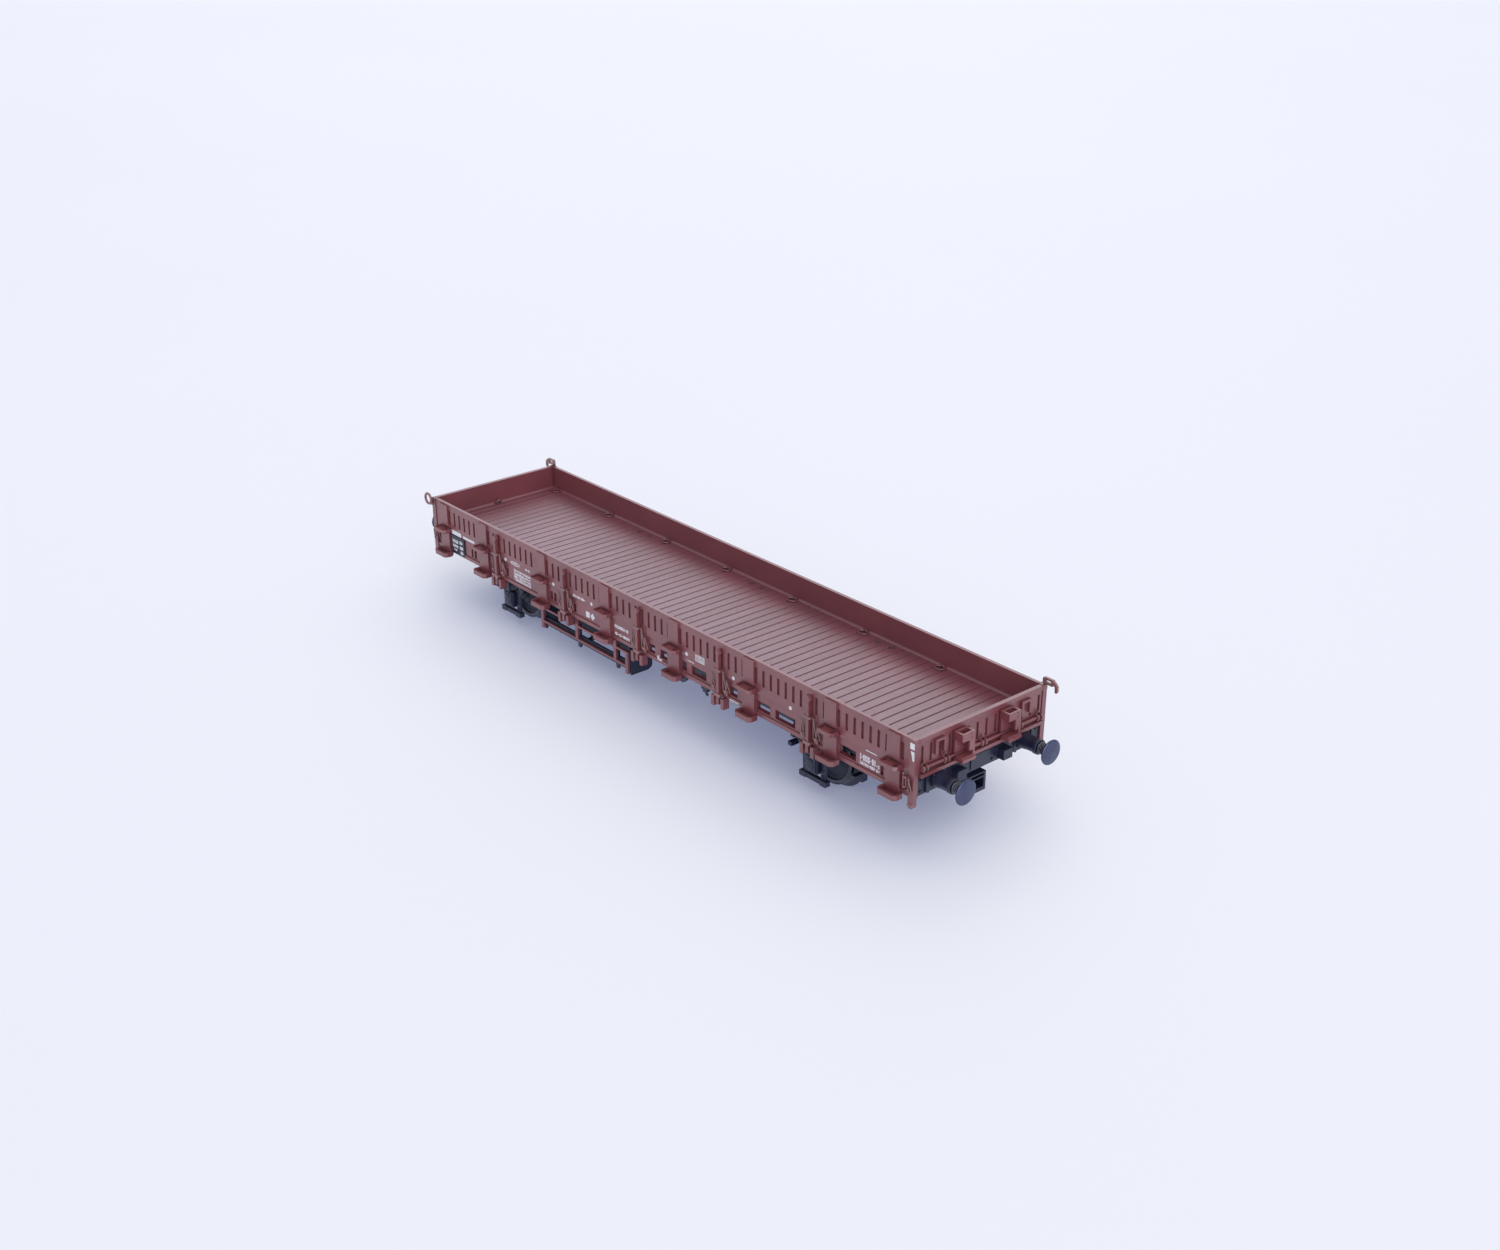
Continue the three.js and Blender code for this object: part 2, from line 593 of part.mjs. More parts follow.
// The cross shaft that the cylinder turns, with its lever and pull rods to the brake beams.
function brakeRigging() {
  const shaft = bar("y", 0.5, [-9.5, 9.5], [0.2, 9.4], 14);
  const lever = block([-0.3, 1.1], [-9, -8.2], [8.6, 12.7]);
  const farHanger = block([-0.3, 0.7], [8.2, 9], [9, 12.8]);
  const pull = block([-38.2, 38.2], [-0.35, 0.35], [9.1, 9.6]);
  const drops = [-1, 1].map((side) => block(
    [side * 37.9 - 0.3, side * 37.9 + 0.3],
    [-0.35, 0.35],
    [6, 9.6],
  ));
  return joined([shaft, lever, farHanger, pull, ...drops]);
}

// ---------------------------------------------------------------- stake rack
const RACK_X = [-34.2, -4.9];
const RACK_POSTS = [-33.8, -21.8, -9.1, -5.3];
const RACK_FRONT = -15.2;
const RACK_BACK = -11;

// The open front frame: two rails and four posts with feet.
function rackFrame() {
  const depth = [RACK_FRONT, RACK_FRONT + 0.55];
  const parts = [
    block(RACK_X, depth, [8.9, 9.35]),
    block(RACK_X, depth, [5.95, 6.4]),
  ];
  for (const x of RACK_POSTS) parts.push(block([x - 0.4, x + 0.4], depth, [5.95, 9.35]));
  for (const x of [RACK_POSTS[0], RACK_POSTS[3]]) parts.push(block([x - 0.4, x + 0.4], depth, [4.6, 6.5]));
  for (const x of RACK_POSTS.slice(0, 3)) parts.push(block([x - 0.5, x + 0.5], depth, [8.8, 11.15]));
  return joined(parts);
}

// The tray behind the frame: a back plate, a front lip, posts, straps and tall end plates.
function rackTray() {
  const front = RACK_FRONT + 0.6;
  const parts = [
    block(RACK_X, [RACK_BACK - 0.5, RACK_BACK], [6.5, 9.4]),
    block(RACK_X, [front, front + 0.5], [5.2, 7]),
  ];
  for (const x of RACK_POSTS.slice(0, 3)) {
    parts.push(block([x - 0.45, x + 0.45], [front, RACK_BACK], [4.9, 5.4]));
    parts.push(block([x - 0.4, x + 0.4], [front, front + 0.5], [4.3, 9.3]));
    parts.push(block([x - 0.45, x + 0.45], [RACK_BACK - 0.5, RACK_BACK], [4.9, 12.6]));
  }
  for (const x of [RACK_X[0] + 0.3, RACK_X[1] - 0.3]) {
    parts.push(plateYZ([
      [front, 4.7], [front, 10.4], [RACK_BACK, 10.4], [RACK_BACK, 5.8], [RACK_BACK - 1.1, 4.7],
    ], [x - 0.3, x + 0.3]));
  }
  return joined(parts);
}

// ---------------------------------------------------------------- assembly
place("deck_floor", deckFloor(), brown);
place("chassis_frame", chassisFrame(), black);
place("ballast_plate", block(
  [-BALLAST_HALF_LENGTH, BALLAST_HALF_LENGTH],
  [-BALLAST_HALF_WIDTH, BALLAST_HALF_WIDTH],
  [14.4, 15.6],
), darkSteel);
place("brake_cylinder", brakeCylinder(), black);
place("brake_rigging", brakeRigging(), black);

for (const [side, flipY] of [["front", 1], ["rear", -1]]) {
  for (const [end, flipX] of [["right", 1], ["left", -1]]) {
    place(`corner_post_${side}_${end}`, cornerPost().scale([flipX, flipY, 1]), brown);
  }
}

for (const [side, halfTurn] of SIDES) {
  place(`side_wall_${side}`, sideWall(), brown, { halfTurn });
  place(`side_sill_${side}`, sideSill(), brown, { halfTurn });
  place(`stake_rack_frame_${side}`, rackFrame(), brown, { halfTurn });
  place(`stake_rack_tray_${side}`, rackTray(), black, { halfTurn });
}

for (const [end, halfTurn] of ENDS) {
  const sign = halfTurn ? -1 : 1;
  place(`end_wall_${end}`, endWall(), brown, { halfTurn });
  place(`headstock_${end}`, headstock(), black, { halfTurn });
  place(`coupler_pocket_${end}`, couplerPocket(), black, { halfTurn });
  place(`coupler_carrier_${end}`, couplerCarrier(), black, { halfTurn });
  place(`coupler_spring_${end}`, couplerSpring(), steel, { halfTurn });
  place(`body_screw_${end}`, bodyScrew(), steel, { x: sign * BODY_SCREW_X });
  place(`axle_${end}`, axle(), steel, { x: sign * AXLE_X, z: AXLE_Z });
  place(`brake_beam_${end}_inner`, brakeBeam(), black, { x: sign * AXLE_X, halfTurn });
  place(`brake_beam_${end}_outer`, brakeBeam(), black, { x: sign * AXLE_X, halfTurn: !halfTurn });
  for (const [side, turnedBack] of SIDES) {
    const y = turnedBack ? BUFFER_Y : -BUFFER_Y;
    const key = `${side}_${end}`;
    place(`end_stake_pocket_${key}`, endStakePocket(), brown, {
      halfTurn,
      y: turnedBack ? END_STAKE_Y : -END_STAKE_Y,
    });
    place(`buffer_sleeve_${key}`, bufferSleeve(), black, { halfTurn, y, z: BUFFER_Z });
    place(`buffer_plunger_${key}`, bufferPlunger(), darkSteel, { halfTurn, y, z: BUFFER_Z });
    place(`wheel_${key}`, wheel(), darkSteel, {
      x: sign * AXLE_X,
      z: AXLE_Z,
      halfTurn: !turnedBack,
    });
    place(`axle_guard_${key}`, axleGuard(), black, { x: sign * AXLE_X, halfTurn: turnedBack });
  }
}

place("lamp_bracket_front_left", lampBracket(), brown, { x: -74.3, y: -LAMP_RING_Y, z: 21.5 });
place("lamp_bracket_rear_left", lampStrap().scale([-1, 1, 1]), brown);
place("lamp_bracket_rear_right", lampStrap(), brown);

export default wagon;
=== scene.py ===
import json
import math
import random

import bmesh
import bpy
from mathutils import Matrix, Vector


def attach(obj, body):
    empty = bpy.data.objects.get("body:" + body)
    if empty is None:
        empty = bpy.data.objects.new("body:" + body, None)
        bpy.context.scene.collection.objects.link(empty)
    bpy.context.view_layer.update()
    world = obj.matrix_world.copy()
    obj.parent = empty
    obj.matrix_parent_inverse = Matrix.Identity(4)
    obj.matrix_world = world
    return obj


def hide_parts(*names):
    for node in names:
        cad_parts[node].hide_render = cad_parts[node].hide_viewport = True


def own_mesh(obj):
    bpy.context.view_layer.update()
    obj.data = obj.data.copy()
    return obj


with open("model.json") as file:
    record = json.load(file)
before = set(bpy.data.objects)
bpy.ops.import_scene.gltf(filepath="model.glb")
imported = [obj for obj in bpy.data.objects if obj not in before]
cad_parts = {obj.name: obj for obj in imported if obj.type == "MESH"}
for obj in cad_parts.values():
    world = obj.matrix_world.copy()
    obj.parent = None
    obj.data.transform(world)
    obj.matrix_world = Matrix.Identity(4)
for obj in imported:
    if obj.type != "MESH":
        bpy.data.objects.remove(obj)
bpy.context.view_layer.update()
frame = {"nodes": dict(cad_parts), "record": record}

MM = 0.001
NODES = frame["nodes"]
HALF_TURN = Matrix.Rotation(math.pi, 4, "Z")
SIDES = (("front", 0), ("rear", 1))
ENDS = (("right", 0), ("left", 1))

# Heights and faces of the wagon, in millimetres in the row frame.
DECK_TOP = 17.0
WALL_FACE = -15.8
SILL_FACE = -15.55
POST_FACE = -15.95
INNER_WALL = 15.1
END_FACE = 73.1
AXLE_X = 47.1
AXLE_Z = 6.5
LEAF_HALF = 5.0
CYLINDER_Y = -8.2
CYLINDER_Z = 9.4
BUFFER_Y = 10.4
BUFFER_Z = 13.35
COIL_EASE = 0.05
DROP_SIDE_POST_X = (-48.2, -24.1, 0.0, 24.1, 48.2)
PLANK_PITCH = 2.17
DECK_END = 72.4
DECK_SEAT = 0.03
COVE_RADIUS = 0.4
TIE_RING_X = (-70, -50, -30, -10, 10, 30, 50, 70)
TIE_RING_Y = -13.95
DECK_HOLE_X = (-38.1, -34.7, -1.7, 1.7, 34.7, 38.1)
DECK_HOLE_Y = -13.5
HINGE_EYE_Y = (-13.9, -8.9, 0.0, 8.9, 13.9)
HINGE_EYE_Z = 16.55
END_POCKET_Y = (-5.6, 5.6)
BODY_SCREW_X = 31
RACK_ENDS_X = (-34.5, -4.9)
RACK_PLATE = 0.3
NUMBER_PANEL_FACE = -15.85

# Mesh clean-up, in millimetres and degrees.
MERGE = 1e-4
SHARP_ANGLE = 38
BEVEL_ANGLE = 35
NODE_EDGE = 0.07
NODE_WELD = 0.002
FLAT_ANGLE = 1

# Camera and room, in metres and degrees.
LENS = 43.74
SENSOR_WIDTH = 36.0
CAMERA_TARGET = (-0.00141, 0.0130, 0.008)
CAMERA_AZIMUTH = 49.45
CAMERA_ELEVATION = 24.61
CAMERA_DISTANCE = 0.36682
CAMERA_CLIP = (0.01, 20.0)
FLOOR_HALF = 6.0
SKY_COLOUR = (0.80, 0.86, 1.0, 1.0)
SKY_STRENGTH = 0.64


# ------------------------------------------------------------------ mesh building
class Mould:
    """Gathers the faces of one piece, in millimetres in the row frame."""

    def __init__(self):
        self.bm = bmesh.new()
        self.material = 0

    def skin(self, rings, loop=False, caps=True):
        """Joins rings of points, each a closed loop, with quads, and closes both ends."""
        rows = [[self.bm.verts.new(point) for point in ring] for ring in rings]
        pairs = list(zip(rows, rows[1:]))
        if loop:
            pairs.append((rows[-1], rows[0]))
        count = len(rows[0])
        for low, high in pairs:
            for i in range(count):
                j = (i + 1) % count
                self._face((low[i], low[j], high[j], high[i]))
        if caps and not loop:
            self._face(rows[0][::-1])
            self._face(rows[-1])

    def _face(self, verts):
        face = self.bm.faces.new(verts)
        face.material_index = self.material

    def prism(self, outline, axis, low, high):
        """An outline in the plane across an axis, from low to high along it."""
        place = {
            "x": lambda u, v, t: (t, u, v),
            "y": lambda u, v, t: (u, t, v),
            "z": lambda u, v, t: (u, v, t),
        }[axis]
        self.skin([[place(u, v, t) for u, v in outline] for t in (low, high)])

    def box(self, x, y, z):
        self.prism([(x[0], y[0]), (x[1], y[0]), (x[1], y[1]), (x[0], y[1])], "z", *z)

    def lathe(self, profile, axis, centre, sides=64, loop=False):
        """A profile of (radius, place along the axis) turned about the axis through centre."""
        place = {
            "x": lambda a, b, t: (t, centre[0] + a, centre[1] + b),
            "y": lambda a, b, t: (centre[0] + b, t, centre[1] + a),
            "z": lambda a, b, t: (centre[0] + a, centre[1] + b, t),
        }[axis]
        rings = []
        for radius, along in profile:
            ring = []
            for i in range(sides):
                turn = 2 * math.pi * i / sides
                ring.append(place(radius * math.cos(turn), radius * math.sin(turn), along))
            rings.append(ring)
        self.skin(rings, loop=loop, caps=False)

    def tube(self, path, radius, sides=10, loop=False):
        """A round wire along a path of points."""
        points = [Vector(p) for p in path]
        count = len(points)
        across = None
        rings = []
        for i, point in enumerate(points):
            before = points[(i - 1) % count] if loop or i > 0 else point
            after = points[(i + 1) % count] if loop or i < count - 1 else point
            along = (after - before).normalized()
            if across is None:
                across = along.orthogonal().normalized()
            across = (across - along * across.dot(along)).normalized()
            other = along.cross(across)
            rings.append([
                point + (across * math.cos(a) + other * math.sin(a)) * radius
                for a in (2 * math.pi * k / sides for k in range(sides))
            ])
        self.skin(rings, loop=loop)

    def ring(self, centre, radius, wire, axis, sides=40, stretch=(1.0, 1.0)):
        """A wire ring about an axis."""
        place = {
            "x": lambda a, b: (0, a, b),
            "y": lambda a, b: (a, 0, b),
            "z": lambda a, b: (a, b, 0),
        }[axis]
        path = []
        for i in range(sides):
            turn = 2 * math.pi * i / sides
            spot = place(radius * stretch[0] * math.cos(turn), radius * stretch[1] * math.sin(turn))
            path.append([c + s for c, s in zip(centre, spot)])
        self.tube(path, wire, loop=True)

    def turned(self, halves):
        """Turns everything by a number of half turns about the wagon's middle."""
        if halves:
            bmesh.ops.transform(self.bm, matrix=HALF_TURN, verts=self.bm.verts)

    def moved(self, x=0.0, y=0.0, z=0.0):
        bmesh.ops.translate(self.bm, vec=(x, y, z), verts=self.bm.verts)

    def stud(self, axis, spot, radius, front, base, edge, sides):
        """A round head from its base to its front, with an edge cut back across and along."""
        across, along = edge
        rim = front + math.copysign(along, base - front)
        profile = [(0, front), (radius - across, front), (radius, rim), (radius, base), (0, base)]
        self.lathe(profile, axis, spot, sides)


def piece(name, mould, materials, body="root", stands_for=(), bevel=0.0):
    """Makes a Blender object of a mould, in metres, riding on a CAD body."""
    bm = mould.bm
    bmesh.ops.remove_doubles(bm, verts=bm.verts, dist=MERGE)
    bmesh.ops.dissolve_degenerate(bm, edges=bm.edges, dist=MERGE)
    bmesh.ops.recalc_face_normals(bm, faces=bm.faces)
    bmesh.ops.scale(bm, vec=(MM, MM, MM), verts=bm.verts)
    mesh = bpy.data.meshes.new(name)
    bm.to_mesh(mesh)
    bm.free()
    for material in materials:
        mesh.materials.append(material)
    mesh.shade_smooth()
    mesh.set_sharp_from_angle(angle=math.radians(SHARP_ANGLE))
    obj = bpy.data.objects.new(name, mesh)
    bpy.context.scene.collection.objects.link(obj)
    if bevel:
        soften(obj, bevel)
    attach(obj, body)
    if stands_for:
        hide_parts(*stands_for)
    return obj


def soften(obj, width, segments=2):
    """Rounds the sharp edges of an object by a width in millimetres."""
    modifier = obj.modifiers.new("Edges", "BEVEL")
    modifier.width = width * MM
    modifier.segments = segments
    modifier.limit_method = "ANGLE"
    modifier.angle_limit = math.radians(BEVEL_ANGLE)
    modifier.use_clamp_overlap = True
    modifier.harden_normals = True


def arc(centre, radius, start, end, steps):
    """Points on an arc, as pairs, with angles in degrees."""
    points = []
    for i in range(steps + 1):
        turn = math.radians(start + (end - start) * i / steps)
        points.append((centre[0] + radius * math.cos(turn), centre[1] + radius * math.sin(turn)))
    return points


def rounded(x, z, radius, steps=4):
    """A rectangle with rounded corners, as an outline."""
    corners = (
        ((x[1] - radius, z[0] + radius), -90),
        ((x[1] - radius, z[1] - radius), 0),
        ((x[0] + radius, z[1] - radius), 90),
        ((x[0] + radius, z[0] + radius), 180),
    )
    outline = []
    for centre, start in corners:
        outline.extend(arc(centre, radius, start, start + 90, steps))
    return outline


# ------------------------------------------------------------------ materials
class Graph:
    """A short hand for adding shader nodes and links to one material."""

    def __init__(self, name):
        self.material = bpy.data.materials.new(name)
        self.material.use_nodes = True
        self.tree = self.material.node_tree
        self.shader = self.tree.nodes["Principled BSDF"]
        self.place = self.add("ShaderNodeTexCoord").outputs["Object"]

    def add(self, kind, **settings):
        node = self.tree.nodes.new(kind)
        for key, value in settings.items():
            setattr(node, key, value)
        return node

    def link(self, source, target):
        self.tree.links.new(source, target)

    def noise(self, scale, detail=2.0, roughness=0.5, place=None):
        node = self.add("ShaderNodeTexNoise")
        node.inputs["Scale"].default_value = scale
        node.inputs["Detail"].default_value = detail
        node.inputs["Roughness"].default_value = roughness
        self.link(place or self.place, node.inputs["Vector"])
        return node.outputs["Fac"]

    def stretched(self, x, y, z):
        node = self.add("ShaderNodeMapping")
        node.inputs["Scale"].default_value = (x, y, z)
        self.link(self.place, node.inputs["Vector"])
        return node.outputs["Vector"]

    def span(self, value, low, high, to_low, to_high):
        node = self.add("ShaderNodeMapRange")
        self.link(value, node.inputs["Value"])
        node.inputs["From Min"].default_value = low
        node.inputs["From Max"].default_value = high
        node.inputs["To Min"].default_value = to_low
        node.inputs["To Max"].default_value = to_high
        return node.outputs["Result"]

    def math(self, operation, first, second):
        node = self.add("ShaderNodeMath", operation=operation)
        for socket, value in zip(node.inputs, (first, second)):
            if isinstance(value, (int, float)):
                socket.default_value = value
            else:
                self.link(value, socket)
        return node.outputs["Value"]

    def mix(self, factor, first, second, blend="MIX"):
        node = self.add("ShaderNodeMix", data_type="RGBA", blend_type=blend)
        sockets = (node.inputs[0], node.inputs[6], node.inputs[7])
        for socket, value in zip(sockets, (factor, first, second)):
            if isinstance(value, (int, float)):
                socket.default_value = value
            elif isinstance(value, tuple):
                socket.default_value = (*value, 1.0)
            else:
                self.link(value, socket)
        return node.outputs[2]

    def bump(self, height, strength, distance, normal=None):
        node = self.add("ShaderNodeBump")
        node.inputs["Strength"].default_value = strength
        node.inputs["Distance"].default_value = distance
        self.link(height, node.inputs["Height"])
        if normal is not None:
            self.link(normal, node.inputs["Normal"])
        return node.outputs["Normal"]

    def edges(self, radius):
        """1 along edges that a small radius would round, 0 on open faces, and the rounded normal."""
        round_normal = self.add("ShaderNodeBevel", samples=4)
        round_normal.inputs["Radius"].default_value = radius
        flat = self.add("ShaderNodeNewGeometry").outputs["Normal"]
        dot = self.add("ShaderNodeVectorMath", operation="DOT_PRODUCT")
        self.link(round_normal.outputs["Normal"], dot.inputs[0])
        self.link(flat, dot.inputs[1])
        edge = self.span(dot.outputs["Value"], 0.98, 0.72, 0.0, 1.0)
        return edge, round_normal.outputs["Normal"]

    def hollows(self, distance):
        """1 deep in corners and grooves, 0 in the open."""
        node = self.add("ShaderNodeAmbientOcclusion", samples=4)
        node.inputs["Distance"].default_value = distance
        return self.span(node.outputs["AO"], 0.35, 0.9, 1.0, 0.0)


def plastic(
    name, base, worn_and_highlit, hollow_shade_colour, roughness, wear_and_highlight=0.4, hollow_shade_amount=0.5, coat=0.4, shine=1.0, planks=False,
):
    """Painted moulded plastic: slight tone drift, satin grain, edges lightened by rubbed wear and painted
    highlight, hollows darkened with painted shade.
    """
    g = Graph(name)
    drift = g.noise(110, 3)
    mottle = g.noise(1500, 4, 0.6)
    darker = tuple(c * 0.86 for c in base)
    lighter = tuple(min(1.0, c * 1.12) for c in base)
    colour = g.mix(g.span(drift, 0.3, 0.7, 0.0, 1.0), darker, lighter)
    colour = g.mix(g.span(mottle, 0.35, 0.75, 0.0, 0.35), colour, darker)
    rough = g.span(mottle, 0.3, 0.7, roughness - 0.05, roughness + 0.07)
    if planks:
        across = g.add("ShaderNodeSeparateXYZ")
        g.link(g.place, across.inputs["Vector"])
        pitches = g.math("DIVIDE", across.outputs["X"], PLANK_PITCH * MM)
        board = g.math("FLOOR", g.math("ADD", pitches, 0.5), 0)
        tone = g.add("ShaderNodeTexWhiteNoise", noise_dimensions="1D")
        g.link(board, tone.inputs["W"])
        shade = g.span(tone.outputs["Value"], 0.0, 1.0, 0.0, 0.16)
        colour = g.mix(shade, colour, tuple(c * 0.7 for c in base))
        grain = g.noise(1.0, 3, 0.55, g.stretched(3600, 260, 900))
        colour = g.mix(g.span(grain, 0.45, 0.75, 0.0, 0.16), colour, tuple(c * 0.62 for c in base))
        rough = g.math("ADD", rough, g.span(tone.outputs["Value"], 0.0, 1.0, -0.03, 0.03))
    edge, normal = g.edges(0.00011)
    # Edges lighten toward a paler colour: partly rubbed wear, partly painted highlight where edges catch
    # the light.
    rub_and_highlight = g.math("MULTIPLY", edge, g.span(g.noise(900, 3), 0.35, 0.65, 0.15, wear_and_highlight))
    colour = g.mix(rub_and_highlight, colour, worn_and_highlit)
    # Painted shade: corners, grooves and recesses darken toward a darker colour, where shade falls.
    hollow = g.hollows(0.0009)
    colour = g.mix(g.math("MULTIPLY", hollow, hollow_shade_amount), colour, hollow_shade_colour)
    g.link(colour, g.shader.inputs["Base Color"])
    g.link(g.math("ADD", rough, g.math("MULTIPLY", hollow, 0.12)), g.shader.inputs["Roughness"])
    normal = g.bump(g.noise(420, 2), 0.25, 0.00006, normal)
    if planks:
        normal = g.bump(grain, 0.3, 0.00003, normal)
    normal = g.bump(g.noise(7500, 2), 0.35, 0.000018, normal)
    g.link(normal, g.shader.inputs["Normal"])
    g.shader.inputs["Coat Weight"].default_value = coat
    g.shader.inputs["Coat Roughness"].default_value = 0.38
    g.shader.inputs["Specular IOR Level"].default_value = shine
    return g.material


def metal(name, base, tint, roughness, streak, grain=0.3):
    """Turned or rolled metal: fine tool marks, mottled tone, a little oxide in the hollows."""
    g = Graph(name)
    mottle = g.noise(700, 4, 0.6)
    marks = g.noise(1.0, 2, 0.5, g.stretched(*streak))
    colour = g.mix(g.span(mottle, 0.3, 0.75, 0.0, 1.0), base, tint)
    colour = g.mix(g.math("MULTIPLY", g.hollows(0.0006), 0.5), colour, tuple(c * 0.35 for c in base))
    g.link(colour, g.shader.inputs["Base Color"])
    g.link(g.span(marks, 0.3, 0.7, roughness - 0.06, roughness + 0.1), g.shader.inputs["Roughness"])
    normal = g.edges(0.00008)[1]
    normal = g.bump(marks, grain, 0.000012, normal)
    normal = g.bump(g.noise(5200, 2), 0.2, 0.00001, normal)
    g.link(normal, g.shader.inputs["Normal"])
    g.shader.inputs["Metallic"].default_value = 1.0
    return g.material


def print_ink(name, base, thin, roughness):
    """Pad-printed ink: slightly uneven cover with soft pinholes."""
    g = Graph(name)
    cover = g.noise(2600, 4, 0.65)
    g.link(g.mix(g.span(cover, 0.38, 0.62, 0.35, 0.0), base, thin), g.shader.inputs["Base Color"])
    g.link(g.span(cover, 0.3, 0.7, roughness - 0.05, roughness + 0.08), g.shader.inputs["Roughness"])
    g.link(g.bump(cover, 0.3, 0.00001), g.shader.inputs["Normal"])
    return g.material


def backdrop(name, base, glow):
    """A matt sweep with a faint bluish glow: painted light that lifts the shadows on it."""
    g = Graph(name)
    tone = g.noise(3, 2)
    colour = g.mix(g.span(tone, 0.3, 0.7, 0.0, 1.0), base, tuple(c * 0.985 for c in base))
    g.link(colour, g.shader.inputs["Base Color"])
    g.shader.inputs["Roughness"].default_value = 0.6
    g.shader.inputs["Specular IOR Level"].default_value = 0.2
    g.shader.inputs["Emission Color"].default_value = (*glow, 1.0)
    g.shader.inputs["Emission Strength"].default_value = 1.0
    return g.material


BROWN = plastic(
    "brown_plastic", (0.198, 0.042, 0.048), (0.29, 0.10, 0.11), (0.075, 0.011, 0.012), 0.40,
)
BROWN_DECK = plastic(
    "brown_deck", (0.168, 0.036, 0.053), (0.27, 0.10, 0.12), (0.085, 0.014, 0.018), 0.40,
    hollow_shade_amount=0.4, planks=True,
)
# A lighter copy of the brown plastic for the thin wire parts, with strong edge lightening: painted
# highlight on the wires.
BROWN_WIRE_HIGHLIT = plastic(
    "brown_wire_highlit", (0.23, 0.085, 0.082), (0.42, 0.22, 0.21), (0.07, 0.014, 0.012), 0.34,
    wear_and_highlight=0.7,
)
# A dark copy of the brown plastic, used as painted shade in holes and round the tie rings.
BROWN_SHADE = plastic(
    "brown_shade", (0.06, 0.012, 0.013), (0.09, 0.02, 0.022), (0.03, 0.005, 0.005), 0.5,
    coat=0.0,
)
# The plastic is near black; the blue in its base and edge colours is painted reflection of the bluish
# room.
BLACK = plastic(
    "black_plastic", (0.012, 0.016, 0.040), (0.05, 0.060, 0.115), (0.003, 0.003, 0.009), 0.36,
    coat=0.1, shine=0.55, hollow_shade_amount=0.8,
)
# The metal is dark grey; the blue in its colours is painted reflection of the bluish room.
DARK_METAL = metal(
    "dark_metal", (0.078, 0.088, 0.155), (0.115, 0.13, 0.215), 0.32, (900, 900, 900),
)
TREAD_METAL = metal(
    "tread_metal", (0.10, 0.10, 0.115), (0.16, 0.16, 0.18), 0.34, (1200, 9000, 1200),
)
BRIGHT_METAL = metal(
    "bright_metal", (0.40, 0.40, 0.44), (0.5, 0.5, 0.54), 0.28, (5000, 1200, 1200),
)
SPRING_METAL = metal(
    "spring_metal", (0.16, 0.16, 0.19), (0.24, 0.24, 0.27), 0.26, (900, 900, 900),
)
BALLAST_METAL = metal(
    "ballast_metal", (0.23, 0.23, 0.24), (0.3, 0.29, 0.28), 0.45, (300, 6000, 6000),
)
WHITE_INK = print_ink("white_ink", (0.78, 0.78, 0.8), (0.5, 0.42, 0.42), 0.45)
DARK_INK = print_ink("dark_ink", (0.012, 0.018, 0.034), (0.035, 0.03, 0.04), 0.35)
# The floor's bluish glow is painted light that lifts the shadows round the wagon and tints its underside.
FLOOR = backdrop("floor", (0.71, 0.70, 0.65), (0.12, 0.135, 0.235))

SLOT_MATERIAL = {
    "brown_plastic": BROWN,
    "black_plastic": BLACK,
    "dark_steel": DARK_METAL,
    "bright_steel": BRIGHT_METAL,
    "ballast_steel": BALLAST_METAL,
}


def finish_cad_nodes():
    """Gives every CAD node its material and rounded edges, and merges its flat faces."""
    for part in frame["record"]["subparts"]:
        node = NODES[part["node"]]
        material = SLOT_MATERIAL[part["material_slot"]]
        if part["node"] == "deck_floor":
            material = BROWN_DECK
        for material_slot in node.material_slots:
            material_slot.material = material
        weld = node.modifiers.new("Weld", "WELD")
        weld.merge_threshold = NODE_WELD * MM
        # The side walls have too many openings for one merged face each.
        if not part["node"].startswith("side_wall"):
            flat = node.modifiers.new("Flat", "DECIMATE")
            flat.decimate_type = "DISSOLVE"
            flat.angle_limit = math.radians(FLAT_ANGLE)
        soften(node, NODE_EDGE)


# ------------------------------------------------------------------ running gear
def wheels():
    """Disc wheels with a flange, a coned tread, a rim, a web and a hub."""
    tyre = [
        (4.62, 9.88), (4.75, 9.98), (5.3, 9.98), (5.42, 9.88), (5.5, 8.6), (5.56, 8.35), (5.72, 8.1),
        (6.1, 7.88), (6.38, 7.72), (6.49, 7.5), (6.4, 7.28), (6.15, 7.2), (4.75, 7.2), (4.62, 7.3),
    ]
    disc = [
        (1.04, 7.28), (2.2, 7.28), (2.4, 7.5), (4.3, 7.85), (4.66, 7.45), (4.66, 9.7), (4.45, 9.42),
        (4.2, 9.25), (2.7, 9.45), (2.2, 9.55), (2.0, 9.75), (1.92, 10.1), (1.8, 10.2), (1.04, 10.2),
    ]
    for end, _ in ENDS:
        x = AXLE_X if end == "right" else -AXLE_X
        for side, halves in SIDES:
            sign = 1 if halves else -1
            mould = Mould()
            mould.lathe([(r, sign * t) for r, t in tyre], "y", (x, AXLE_Z), 96, loop=True)
            mould.material = 1
            mould.lathe([(r, sign * t) for r, t in disc], "y", (x, AXLE_Z), 72, loop=True)
            name = f"wheel_{side}_{end}"
            piece(
                f"{name}_look", mould, (TREAD_METAL, BLACK),
                f"wheelset_{end}", (name,),
            )


